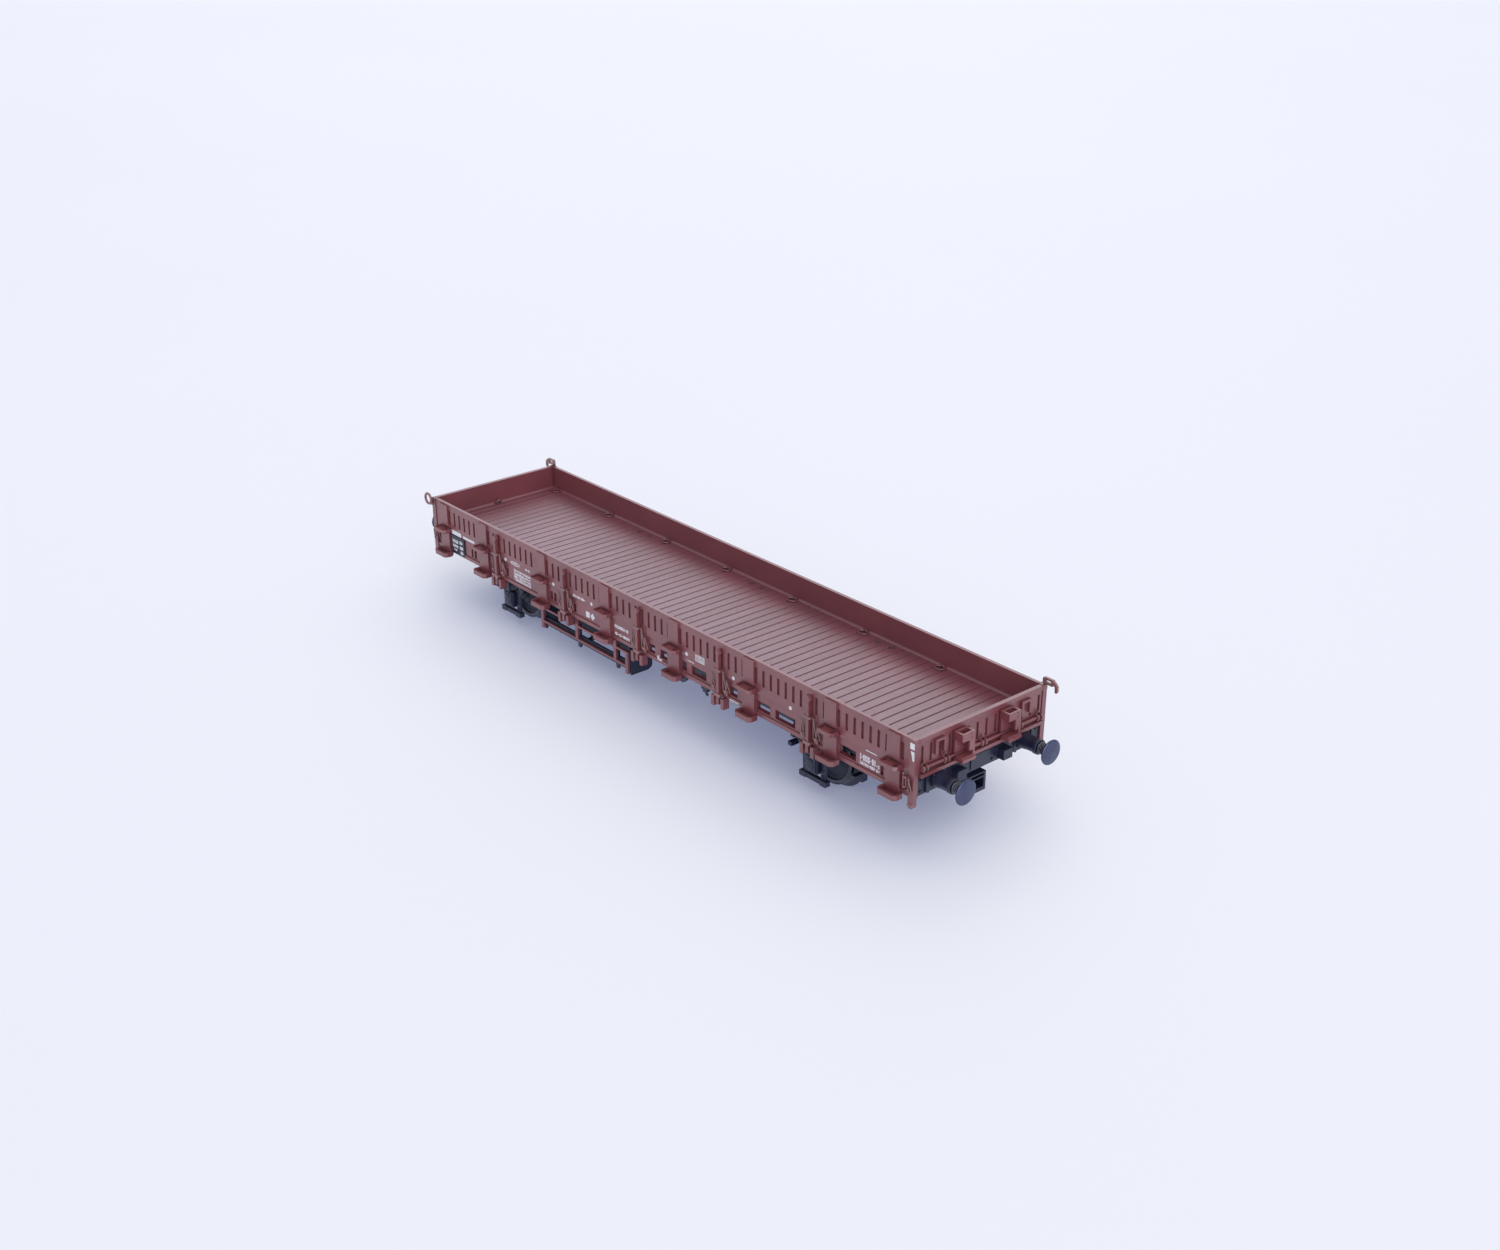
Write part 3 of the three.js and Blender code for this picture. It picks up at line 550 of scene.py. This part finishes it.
def axles():
    """Stepped axles with a polished bearing end."""
    profile = [
        (0, -13.7), (0.1, -13.68), (0.26, -13.45), (0.44, -13.2), (0.45, -12.95), (0.95, -12.2),
        (1.0, -12.05), (1.0, -10.6), (0.92, -10.5), (0.92, -6.9), (0.8, -6.7), (0.8, 6.7),
        (0.92, 6.9), (0.92, 10.5), (1.0, 10.6), (1.0, 12.05), (0.95, 12.2), (0.45, 12.95),
        (0.44, 13.2), (0.26, 13.45), (0.1, 13.68), (0, 13.7),
    ]
    for end, _ in ENDS:
        mould = Mould()
        mould.lathe(profile, "y", (AXLE_X if end == "right" else -AXLE_X, AXLE_Z), 48)
        piece(
            f"axle_{end}_look", mould, (BRIGHT_METAL,),
            f"wheelset_{end}", (f"axle_{end}",),
        )


def leaf(mould, half, bottom, sag, thickness, y):
    """One curved spring leaf, hanging lowest in the middle; sag is the rise of the longest."""
    steps = 14
    low = []
    high = []
    for i in range(steps + 1):
        x = -half + 2 * half * i / steps
        rise = sag * (x / LEAF_HALF) ** 2
        low.append((x, bottom + rise))
        high.append((x, bottom + rise + thickness))
    mould.prism(low + high[::-1], "y", *y)


def axle_guards():
    """W-irons with a tie bar, an axle box with its cover, a leaf spring and shackles."""
    for end, _ in ENDS:
        x = AXLE_X if end == "right" else -AXLE_X
        for side, halves in SIDES:
            m = Mould()
            for flip in (-1, 1):
                leg = [
                    (1.75, 3.6), (2.85, 3.6), (3.05, 7.2), (5.55, 11.2), (5.55, 14.2), (4.2, 14.2),
                    (4.1, 11.2), (2.2, 8.6), (1.75, 8.2),
                ]
                outline = [(flip * u, v) for u, v in leg]
                m.prism(outline if flip > 0 else outline[::-1], "y", -13.75, -13.2)
                foot = flip * 2.6
                m.prism(rounded((foot - 0.85, foot + 0.85), (2.85, 3.95), 0.2), "y", -14.2, -13.05)
                for z in (4.55, 5.6, 12.2, 13.4):
                    spot = flip * (2.3 if z < AXLE_Z else 4.85)
                    m.stud("y", (spot, z), 0.27, -14.02, -13.7, (0.07, 0.09), 12)
                link = flip * 4.75
                m.prism(rounded((link - 0.32, link + 0.32), (9.7, 12.3), 0.28), "y", -14.55, -13.65)
                m.stud("y", (link, 10.35), 0.42, -14.85, -13.65, (0.08, 0.1), 20)
            m.box((-2.6, 2.6), (-14.1, -13.2), (2.95, 3.85))
            m.box((-4.4, 4.4), (-13.75, -13.2), (11.3, 14.2))
            m.prism(rounded((-1.6, 1.6), (4.75, 8.25), 0.35), "y", -14.55, -13.4)
            m.prism(rounded((-1.3, 1.3), (5.05, 7.95), 0.3), "y", -14.8, -14.4)
            cover = [
                (0, -15.14), (0.55, -15.12), (0.9, -15.05), (1.08, -14.95), (1.12, -14.8),
                (1.12, -14.4), (0, -14.4),
            ]
            m.lathe(cover, "y", (0, AXLE_Z), 40)
            m.stud("y", (0, AXLE_Z), 0.26, -15.16, -14.9, (0.06, 0.06), 12)
            for index in range(5):
                half = LEAF_HALF - 0.85 * index
                leaf(m, half, 9.75 - 0.28 * index, 1.05, 0.22, (-14.5, -13.6))
            m.prism(rounded((-0.62, 0.62), (8.2, 10.35), 0.15), "y", -14.72, -13.5)
            m.box((-0.35, 0.35), (-14.45, -13.7), (7.9, 8.5))
            m.box((-0.9, 0.9), (-14.3, -13.5), (10.2, 10.55))
            m.turned(halves)
            m.moved(x=x)
            name = f"axle_guard_{side}_{end}"
            piece(f"{name}_look", m, (BLACK,), "root", (name,), bevel=0.06)


# ------------------------------------------------------------------ buffers
def coil(turns, radius, start, end, steps_per_turn=22):
    """Points of a closed-end coil along X, about the buffer's line on the front right corner."""
    path = []
    total = int(turns * steps_per_turn)
    for i in range(total + 1):
        share = i / total
        eased = share - COIL_EASE * math.sin(2 * math.pi * share)
        turn = 2 * math.pi * turns * share
        path.append((
            start + (end - start) * eased,
            -BUFFER_Y + radius * math.cos(turn),
            BUFFER_Z + radius * math.sin(turn),
        ))
    return path


def buffers():
    """Sleeves with a conical root, coil springs, and round heads on their shanks."""
    sleeve = [
        (0, 73.1), (1.53, 73.1), (1.55, 73.2), (1.55, 73.5), (1.52, 73.6), (1.46, 74.2), (1.34, 75.0),
        (1.3, 76.3), (1.38, 76.42), (1.4, 76.5), (1.4, 77.1), (1.38, 77.2), (1.32, 77.3), (1.02, 77.3),
        (0.97, 77.22), (0.97, 73.9), (0, 73.9),
    ]
    shank = [
        (0, 75.25), (0.8, 75.25), (0.88, 75.35), (0.88, 78.94), (1.0, 78.98), (1.3, 79.06),
        (1.75, 79.22),
    ]
    head = [
        (2.12, 79.34), (2.25, 79.4), (2.31, 79.5), (2.32, 79.58), (2.29, 79.67), (2.22, 79.74),
        (2.1, 79.79), (1.9, 79.83), (1.5, 79.88), (1.0, 79.94), (0.5, 79.985), (0, 80.0),
    ]
    line = (-BUFFER_Y, BUFFER_Z)
    bolt = 1.05
    for end, halves in ENDS:
        sign = -1 if halves else 1
        for side, side_turn in SIDES:
            key = f"{side}_{end}"
            sleeves, plunger, wire = Mould(), Mould(), Mould()
            sleeves.lathe(sleeve, "x", line, 56)
            for y in (-bolt, bolt):
                for z in (-bolt, bolt):
                    spot = (line[0] + y, line[1] + z)
                    sleeves.stud("x", spot, 0.2, 73.55, 73.1, (0.04, 0.07), 10)
            plunger.lathe(shank + head, "x", line, 72)
            wire.tube(coil(5.5, 1.0, 77.42, 78.74), 0.085, 8)
            shift = 0.0 if side_turn == halves else 2 * BUFFER_Y
            for mould in (sleeves, plunger, wire):
                mould.turned(halves)
                mould.moved(y=sign * shift)
            piece(
                f"buffer_sleeve_{key}_look", sleeves, (BLACK,),
                "root", (f"buffer_sleeve_{key}",),
            )
            piece(
                f"buffer_plunger_{key}_look", plunger, (DARK_METAL,),
                f"buffer_{key}", (f"buffer_plunger_{key}",),
            )
            spring = piece(f"buffer_spring_{key}", wire, (SPRING_METAL,), "root")
            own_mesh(spring)


# ------------------------------------------------------------------ fittings on the sides
def hairpin(mould, left, middle, right, radius=0.13):
    """A wire bent to a narrow loop between two feet, given as points."""
    a, top, b = Vector(left), Vector(middle), Vector(right)
    width = (b - a) * 0.2
    drop = Vector((0, 0, -0.1))
    path = [a, a.lerp(top, 0.5), a.lerp(top, 0.9) + width * 0.2]
    path += [top - width * 0.6 + drop, top, top + width * 0.6 + drop]
    path += [b.lerp(top, 0.9) - width * 0.2, b.lerp(top, 0.5), b]
    mould.tube(path, radius, 8)


def latches():
    """The wire latches beside each drop-side post, with their pivots and hooks."""
    for side, halves in SIDES:
        for number, x in enumerate(DROP_SIDE_POST_X):
            m = Mould()
            hairpin(m, (x - 2.35, -15.8, 12.7), (x - 1.75, -16.35, 15.5), (x - 1.2, -16.0, 12.6))
            hairpin(m, (x + 0.95, -16.0, 12.6), (x + 1.35, -16.4, 16.9), (x + 1.75, -16.0, 13.2))
            hairpin(m, (x + 1.55, -15.8, 12.4), (x + 2.2, -16.25, 15.3), (x + 2.6, -15.85, 12.9))
            for spot, z in ((x - 1.75, 12.75), (x + 1.7, 12.9)):
                m.stud("y", (spot, z), 0.36, -16.35, -15.5, (0.08, 0.1), 16)
                m.prism(rounded((spot - 0.45, spot + 0.45), (12.05, 13.1), 0.2), "y", -16.05, -15.5)
            m.prism(rounded((x - 0.95, x + 0.95), (16.55, 16.95), 0.12), "y", -16.75, -15.82)
            m.prism(rounded((x - 0.9, x + 0.9), (11.5, 12.1), 0.15), "y", -16.78, -15.6)
            for z in (17.9, 19.3):
                m.stud("y", (x, z), 0.18, -16.78, -16.5, (0.06, 0.08), 10)
            m.turned(halves)
            name = f"side_latch_{side}_{number + 1}"
            piece(name, m, (BROWN_WIRE_HIGHLIT,), "root", bevel=0.04)


def corner_latches():
    """The wire latch and hook low on each corner post, and the two-lobed foot."""
    for side, side_turn in SIDES:
        for end, end_turn in ENDS:
            flip_x = -1 if end_turn else 1
            flip_y = -1 if side_turn else 1
            m = Mould()
            hairpin(m, (70.75, -15.8, 12.6), (71.2, -16.35, 15.6), (71.55, -16.0, 12.7))
            hairpin(m, (72.25, -16.05, 12.4), (72.5, -16.45, 15.0), (72.85, -16.05, 12.6))
            m.stud("y", (72.1, 13.0), 0.4, -16.5, -15.9, (0.1, 0.1), 16)
            for spot in (72.3, 73.0):
                m.stud("y", (spot, 9.95), 0.34, -16.1, -15.9, (0.06, 0.08), 20)
            bmesh.ops.scale(m.bm, vec=(flip_x, flip_y, 1), verts=m.bm.verts)
            piece(f"corner_latch_{side}_{end}", m, (BROWN_WIRE_HIGHLIT,), "root")


def lamp_brackets():
    """A wire ring outside one corner, and two flat strap loops over the others."""
    ring = Mould()
    ring.ring((-74.1, -16.35, 21.55), 1.12, 0.27, "y", 48)
    ring.tube([(-73.4, -16.35, 20.75), (-73.15, -16.25, 20.6), (-73.0, -16.0, 20.5)], 0.24, 10)
    piece(
        "lamp_ring_front_left", ring, (BROWN_WIRE_HIGHLIT,),
        "root", ("lamp_bracket_front_left",),
    )
    for end, flip in (("right", 1), ("left", -1)):
        strap = Mould()
        outer = rounded((72.5, 74.9), (22.1, 23.35), 0.35)
        inner = rounded((73.05, 74.35), (22.5, 22.95), 0.15)
        near, far = 15.5, 16.05
        rings = []
        for outline, y in ((outer, near), (outer, far), (inner, far), (inner, near)):
            rings.append([(flip * u, y, v) for u, v in outline])
        strap.skin(rings, loop=True)
        leg = [
            (74.5, 23.2), (75.2, 23.0), (75.75, 22.4), (75.8, 21.5), (75.6, 21.15), (75.3, 21.1),
            (75.2, 21.4), (75.15, 22.2), (74.8, 22.5),
        ]
        strap.prism([(flip * u, v) for u, v in leg], "y", 15.55, 16.0)
        pad = rounded((72.55, 73.2), (21.0, 22.3), 0.1)
        strap.prism([(flip * u, v) for u, v in pad], "y", 15.95, 16.12)
        piece(
            f"lamp_strap_rear_{end}", strap, (BROWN_WIRE_HIGHLIT,),
            "root", (f"lamp_bracket_rear_{end}",), bevel=0.05,
        )


# ------------------------------------------------------------------ fittings on the ends
def end_fittings():
    """Wire eyes round the hinge rod and rivets on the stake pockets."""
    for end, halves in ENDS:
        m = Mould()
        for y in HINGE_EYE_Y:
            for offset in (-0.42, 0.42):
                m.ring((END_FACE + 0.45, y + offset, HINGE_EYE_Z), 0.47, 0.12, "y", 20)
            hairpin(
                m, (END_FACE + 0.15, y - 0.5, 17.0), (END_FACE + 0.5, y - 0.1, 17.9),
                (END_FACE + 0.15, y + 0.4, 17.0), 0.1,
            )
        m.turned(halves)
        piece(f"end_hinge_eyes_{end}", m, (BROWN_WIRE_HIGHLIT,), "root")
        m = Mould()
        for y in END_POCKET_Y:
            for z in (19.85, 20.6):
                m.stud("x", (y + 0.75, z), 0.22, 75.58, 75.3, (0.08, 0.08), 12)
        m.turned(halves)
        name = f"end_pocket_rivets_{end}"
        piece(name, m, (BROWN,), "root", bevel=0.04)


def headstock_fittings():
    """Ribs, plates and bolts on the headstock, and the lip round the coupler socket."""
    for end, halves in ENDS:
        m = Mould()
        for y in (-12.75, 12.75):
            m.prism(rounded((y - 0.28, y + 0.28), (11.5, 14.6), 0.1), "x", 72.8, 73.35)
        for y in (-BUFFER_Y, BUFFER_Y):
            m.prism(rounded((y - 2.0, y + 2.0), (11.4, 14.8), 0.3), "x", 72.8, 73.12)
        for y in (-14.0, -3.2, 3.2, 14.0):
            for z in (12.0, 14.1):
                m.stud("x", (y, z), 0.24, 73.2, 72.9, (0.08, 0.1), 12)
        m.prism(rounded((-2.2, 2.2), (11.6, 14.3), 0.25), "x", 72.8, 73.15)
        m.turned(halves)
        name = f"headstock_fittings_{end}"
        piece(name, m, (BLACK,), "root", bevel=0.05)


# ------------------------------------------------------------------ deck fittings
def deck_fittings():
    """Tie-down rings with their staples over dark ovals of painted shade, and the sunk screw holes drawn
    as flat discs of painted shade.
    """
    for side, halves in SIDES:
        for number, x in enumerate(TIE_RING_X):
            m = Mould()
            m.ring((x, TIE_RING_Y, DECK_TOP + 0.16), 1.0, 0.15, "z", 36, (1.0, 0.74))
            staple = [
                (-0.4, -14.75, -0.1), (-0.38, -14.7, 0.3), (0, -14.6, 0.42),
                (0.38, -14.7, 0.3), (0.4, -14.75, -0.1),
            ]
            m.tube([(x + u, y, DECK_TOP + v) for u, y, v in staple], 0.13, 8)
            tab = rounded((x - 0.62, x + 0.62), (DECK_TOP, DECK_TOP + 0.55), 0.15)
            m.prism(tab, "y", -15.05, -14.86)
            # A thin dark oval on the deck round each ring: painted shade of the recess it sits in.
            m.material = 1
            shade_oval = arc((0, 0), 1, 0, 350, 35)
            m.prism(
                [(x + 0.86 * u, TIE_RING_Y + 0.6 * v) for u, v in shade_oval],
                "z", DECK_TOP - 0.02, DECK_TOP + 0.02,
            )
            m.turned(halves)
            name = f"tie_ring_{side}_{number + 1}"
            piece(name, m, (BROWN, BROWN_SHADE), "root")
        for number, x in enumerate(DECK_HOLE_X):
            m = Mould()
            # Each screw hole is a flat dark disc; its darkness is painted shade.
            rim = [(0, -0.02), (0.52, -0.02), (0.52, 0.03), (0.46, 0.04), (0.42, 0.012), (0, 0.012)]
            m.lathe([(r, DECK_TOP + t) for r, t in rim], "z", (x, DECK_HOLE_Y), 28)
            m.turned(halves)
            piece(f"deck_hole_{side}_{number + 1}", m, (BROWN_SHADE,), "root")
    for end, halves in ENDS:
        m = Mould()
        staple = [
            (71.9, -0.5, 17.0), (71.7, -0.45, 17.7), (71.6, 0, 17.95),
            (71.7, 0.45, 17.7), (71.9, 0.5, 17.0),
        ]
        m.tube(staple, 0.14, 8)
        m.prism(rounded((-0.85, 0.85), (17.0, 17.5), 0.15), "x", 72.02, 72.3)
        m.turned(halves)
        piece(f"end_staple_{end}", m, (BROWN_WIRE_HIGHLIT,), "root")


def deck_coves():
    """A small moulded radius where the deck meets the walls."""
    curve = arc((COVE_RADIUS, COVE_RADIUS), COVE_RADIUS, 180, 270, 5)
    for side, halves in SIDES:
        m = Mould()
        outline = [(-INNER_WALL - DECK_SEAT, DECK_TOP - DECK_SEAT)]
        outline += [(-INNER_WALL + COVE_RADIUS, DECK_TOP - DECK_SEAT)]
        outline += [(-INNER_WALL + u, DECK_TOP + v) for u, v in reversed(curve)]
        outline += [(-INNER_WALL - DECK_SEAT, DECK_TOP + COVE_RADIUS)]
        m.prism(outline, "x", -DECK_END, DECK_END)
        m.turned(halves)
        piece(f"deck_cove_{side}", m, (BROWN,), "root")
    for end, halves in ENDS:
        m = Mould()
        outline = [(DECK_END + DECK_SEAT, DECK_TOP - DECK_SEAT)]
        outline += [(DECK_END - COVE_RADIUS, DECK_TOP - DECK_SEAT)]
        outline += [(DECK_END - u, DECK_TOP + v) for u, v in reversed(curve)]
        outline += [(DECK_END + DECK_SEAT, DECK_TOP + COVE_RADIUS)]
        m.prism(outline, "y", -INNER_WALL, INNER_WALL)
        m.turned(halves)
        piece(f"deck_cove_{end}", m, (BROWN,), "root")


# ------------------------------------------------------------------ underframe
def brake_cylinder():
    """A flanged cylinder with its push rod, a ring of bolts and a bracket."""
    drum = [
        (0, 5.5), (1.7, 5.5), (1.85, 5.6), (1.85, 6.0), (2.1, 6.05), (2.1, 6.45), (1.95, 6.5),
        (1.95, 11.2), (2.1, 11.25), (2.1, 11.7), (1.95, 11.8), (1.85, 12.1), (1.55, 12.5),
        (1.0, 12.72), (0.5, 12.8), (0, 12.8),
    ]
    rod = [(0, 2.2), (0.35, 2.2), (0.4, 2.3), (0.4, 5.2), (0.75, 5.25), (0.75, 5.6), (0, 5.6)]
    line = (CYLINDER_Y, CYLINDER_Z)
    m = Mould()
    m.lathe(drum, "x", line, 56)
    m.lathe(rod, "x", line, 24)
    for i in range(6):
        turn = math.radians(60 * i + 30)
        spot = (CYLINDER_Y + 1.75 * math.cos(turn), CYLINDER_Z + 1.75 * math.sin(turn))
        m.stud("x", spot, 0.24, 5.75, 6.1, (0.04, 0.05), 8)
    m.box((8.0, 9.6), (-9.0, -7.4), (10.9, 12.75))
    m.prism([(-9.8, 11.2), (-6.6, 11.2), (-7.0, 12.75), (-9.4, 12.75)], "x", 8.3, 9.3)
    piece(
        "brake_cylinder_look", m, (BLACK,),
        "root", ("brake_cylinder",), bevel=0.05,
    )


def body_screws():
    """Slotted pan-head screws under the frame."""
    for end, halves in ENDS:
        m = Mould()
        radius = 1.6
        for flip in (-1, 1):
            start = math.degrees(math.asin(0.2 / radius))
            outline = [(flip * u, flip * v) for u, v in arc((0, 0), radius, start, 180 - start, 24)]
            m.prism([(BODY_SCREW_X + u, v) for u, v in outline], "z", 11.82, 12.3)
        head = [(0, 12.2), (1.55, 12.2), (radius, 12.3), (radius, 12.7), (1.45, 12.8), (0, 12.8)]
        m.lathe(head, "z", (BODY_SCREW_X, 0), 48)
        m.lathe([(0, 12.7), (0.8, 12.7), (0.8, 14.2), (0, 14.2)], "z", (BODY_SCREW_X, 0), 32)
        m.turned(halves)
        piece(
            f"body_screw_{end}_look", m, (BRIGHT_METAL,),
            "root", (f"body_screw_{end}",), bevel=0.05,
        )


def rack_end_plates():
    """The deep dark plates that close both ends of each stake rack."""
    outline = [(-14.6, 4.3), (-10.4, 4.3), (-9.6, 4.75), (-9.4, 5.3), (-9.4, 9.9), (-14.6, 9.9)]
    for side, halves in SIDES:
        m = Mould()
        for x in RACK_ENDS_X:
            m.prism(outline, "x", x, x + RACK_PLATE)
        m.turned(halves)
        piece(f"rack_end_plates_{side}", m, (BLACK,), "root", bevel=0.04)


def sill_hangers():
    """Small brackets hanging under the sill: the brake change-over plate and a pipe bracket."""
    for side, halves in SIDES:
        m = Mould()
        plate = [(9.4, 11.35), (12.9, 11.35), (12.4, 9.6), (11.6, 8.9), (10.6, 8.9), (9.9, 9.7)]
        m.prism(plate, "y", -14.6, -13.9)
        m.stud("y", (11.1, 10.1), 0.55, -14.95, -14.5, (0.1, 0.1), 20)
        m.box((17.6, 18.6), (-14.8, -13.8), (9.4, 11.35))
        m.box((17.4, 19.2), (-15.0, -14.3), (10.0, 10.7))
        m.tube([(18.1, -14.3, 9.6), (18.1, -14.3, 9.0), (18.3, -14.1, 8.6)], 0.25, 10)
        m.turned(halves)
        piece(f"sill_hangers_{side}", m, (BLACK,), "root", bevel=0.06)


# ------------------------------------------------------------------ printed marks
class Marks:
    """Thin printed slabs on the front face, given by their ranges along X and Z."""

    def __init__(self, face, lift=0.025):
        self.mould = Mould()
        self.outer = face - lift
        self.inner = face + 0.05

    def bar(self, x0, x1, z0, z1):
        self.mould.box((x0, x1), (self.outer, self.inner), (z0, z1))

    def dot(self, x, z, radius=0.36):
        self.mould.prism(arc((x, z), radius, 0, 345, 23), "y", self.outer, self.inner)

    def frame(self, x0, x1, z0, z1, line=0.12):
        self.bar(x0, x1, z0, z0 + line)
        self.bar(x0, x1, z1 - line, z1)
        self.bar(x0, x0 + line, z0 + line, z1 - line)
        self.bar(x1 - line, x1, z0 + line, z1 - line)

    def row(self, x0, x1, z0, z1, seed, widest=0.34):
        """A row of dashes and ticks, which stands for a printed line and spells nothing."""
        draw = random.Random(seed)
        x = x0
        while x < x1 - 0.1:
            width = min(x1 - x, draw.uniform(0.16, widest))
            kind = draw.random()
            middle = (z0 + z1) / 2
            if kind < 0.55:
                self.bar(x, x + width, z0, z1)
            elif kind < 0.8:
                self.bar(x, x + width, z0, middle - 0.04)
                self.bar(x, x + width, middle + 0.06, z1)
            else:
                self.bar(x, x + width, middle - 0.1, middle + 0.12)
            x += width + draw.uniform(0.08, 0.16)


def printed_marks():
    """White rows, dots and plates on the walls, sills, number panels and one corner post."""
    for side, halves in SIDES:
        wall = Marks(WALL_FACE)
        wall.bar(-66.1, -62.5, 15.72, 16.65)
        wall.bar(-61.7, -57.3, 15.85, 16.4)
        for x in (-45.5, -28.3, -15.4, 14.3, 27.7, 43.0):
            wall.dot(x, 16.2)
        oval = arc((0, 0), 1, 0, 352, 44)
        rings = []
        outside, inside = (1.75, 0.42), (1.6, 0.29)
        for (sx, sz), y in (
            (outside, wall.inner), (outside, wall.outer), (inside, wall.outer), (inside, wall.inner),
        ):
            rings.append([(-42.0 + u * sx, y, 16.22 + v * sz) for u, v in oval])
        wall.mould.skin(rings, loop=True)
        wall.row(-43.2, -40.9, 16.08, 16.36, 3)
        wall.row(-38.3, -36.6, 15.95, 16.4, 4)
        wall.row(-21.6, -17.6, 15.9, 16.4, 5)
        wall.frame(16.9, 19.5, 15.75, 17.1)
        wall.bar(17.02, 19.38, 16.38, 16.46)
        wall.row(17.2, 19.3, 15.95, 16.28, 6)
        wall.row(17.2, 19.3, 16.56, 16.9, 7)
        wall.bar(61.9, 64.5, 15.7, 15.86)
        wall.row(26.5, 29.2, 11.42, 11.72, 8)
        wall.mould.turned(halves)
        piece(f"marks_wall_{side}", wall.mould, (WHITE_INK,), "root")

        sill = Marks(SILL_FACE)
        for index, z in enumerate((14.35, 13.6, 12.95, 12.3)):
            sill.row(-42.9, -36.9, z, z + (0.55 if index else 0.5), 20 + index)
        sill.bar(-17.7, -16.5, 12.7, 13.9)
        sill.mould.prism(
            [(-15.5, 12.55), (-14.75, 13.3), (-15.5, 14.05), (-16.25, 13.3)], "y", sill.outer, sill.inner,
        )
        sill.row(-8.2, -3.9, 13.75, 14.4, 31)
        sill.row(-8.2, -3.4, 12.2, 12.8, 32)
        sill.row(13.9, 16.1, 14.72, 14.95, 33)
        sill.row(60.3, 64.0, 13.35, 14.5, 34, 0.3)
        sill.row(60.3, 64.1, 12.5, 13.05, 35)
        sill.row(64.25, 65.1, 13.3, 13.9, 36)
        sill.row(64.25, 65.1, 12.45, 13.0, 37)
        hook = [(5.3, 12.6), (5.6, 12.7), (5.85, 12.15), (6.7, 12.15), (6.7, 11.85), (5.55, 11.9)]
        sill.mould.prism(hook, "y", -15.83, -15.5)
        sill.mould.turned(halves)
        piece(f"marks_sill_{side}", sill.mould, (WHITE_INK,), "root")

        panel = Mould()
        panel.box((-66.45, -61.5), (NUMBER_PANEL_FACE, -15.5), (11.35, 15.45))
        panel.turned(halves)
        name = f"number_panel_{side}"
        piece(name, panel, (DARK_INK,), "root", bevel=0.05)
        signs = Marks(NUMBER_PANEL_FACE)
        signs.row(-65.9, -63.8, 13.9, 14.6, 41)
        signs.row(-65.9, -63.9, 12.9, 13.5, 42)
        signs.row(-65.6, -64.2, 12.1, 12.5, 43)
        signs.row(-63.2, -61.8, 14.1, 14.8, 44)
        signs.row(-63.2, -61.8, 12.9, 13.6, 45)
        signs.row(-63.0, -61.9, 11.8, 12.5, 46)
        signs.mould.turned(halves)
        piece(f"marks_panel_{side}", signs.mould, (WHITE_INK,), "root")

    corner = Marks(POST_FACE)
    corner.bar(72.15, 73.15, 20.35, 21.45)
    flag = [(72.35, 19.95), (73.15, 19.95), (73.15, 18.3), (72.85, 18.2)]
    corner.mould.prism(flag, "y", corner.outer, corner.inner)
    piece("marks_corner_front_right", corner.mould, (WHITE_INK,), "root")


# ------------------------------------------------------------------ room
def look_at(obj, target):
    """Points an object's view direction at a target."""
    direction = Vector(target) - obj.location
    obj.rotation_euler = direction.to_track_quat("-Z", "Y").to_euler()


def soft_sun(name, source, width, strength, colour):
    """A broad light from one direction, with its angular width in degrees."""
    data = bpy.data.lights.new(name, "SUN")
    data.angle = math.radians(width)
    data.energy = strength
    data.color = colour
    light = bpy.data.objects.new(name, data)
    light.location = source
    look_at(light, (0, 0, 0))
    bpy.context.scene.collection.objects.link(light)


def room():
    """The floor, the sky, three broad lights and the camera."""
    scene = bpy.context.scene
    scene.view_settings.view_transform = "Standard"
    world = bpy.data.worlds.new("studio")
    scene.world = world
    world.use_nodes = True
    background = world.node_tree.nodes["Background"]
    background.inputs["Color"].default_value = SKY_COLOUR
    background.inputs["Strength"].default_value = SKY_STRENGTH

    mesh = bpy.data.meshes.new("studio_floor")
    half = FLOOR_HALF
    corners = [(-half, -half, 0), (half, -half, 0), (half, half, 0), (-half, half, 0)]
    mesh.from_pydata(corners, [], [(0, 1, 2, 3)])
    mesh.materials.append(FLOOR)
    floor = bpy.data.objects.new("studio_floor", mesh)
    scene.collection.objects.link(floor)

    soft_sun("overhead_key", (-0.10, 0.40, 1.0), 80, 0.94, (1.0, 0.92, 0.74))
    soft_sun("left_glare", (-0.69, 0.59, 0.45), 45, 0.45, (0.85, 0.9, 1.0))
    soft_sun("front_fill", (0.88, -0.46, 0.56), 60, 1.4, (0.86, 0.88, 1.0))

    data = bpy.data.cameras.new("camera")
    data.lens = LENS
    data.sensor_width = SENSOR_WIDTH
    data.clip_start, data.clip_end = CAMERA_CLIP
    camera = bpy.data.objects.new("camera", data)
    target = Vector(CAMERA_TARGET)
    azimuth = math.radians(CAMERA_AZIMUTH)
    elevation = math.radians(CAMERA_ELEVATION)
    back = Vector((
        math.sin(azimuth) * math.cos(elevation),
        -math.cos(azimuth) * math.cos(elevation),
        math.sin(elevation),
    ))
    camera.location = target + back * CAMERA_DISTANCE
    look_at(camera, target)
    scene.collection.objects.link(camera)
    scene.camera = camera


room()
finish_cad_nodes()
wheels()
axles()
axle_guards()
buffers()
latches()
corner_latches()
lamp_brackets()
end_fittings()
headstock_fittings()
deck_fittings()
deck_coves()
brake_cylinder()
body_screws()
sill_hangers()
rack_end_plates()
printed_marks()
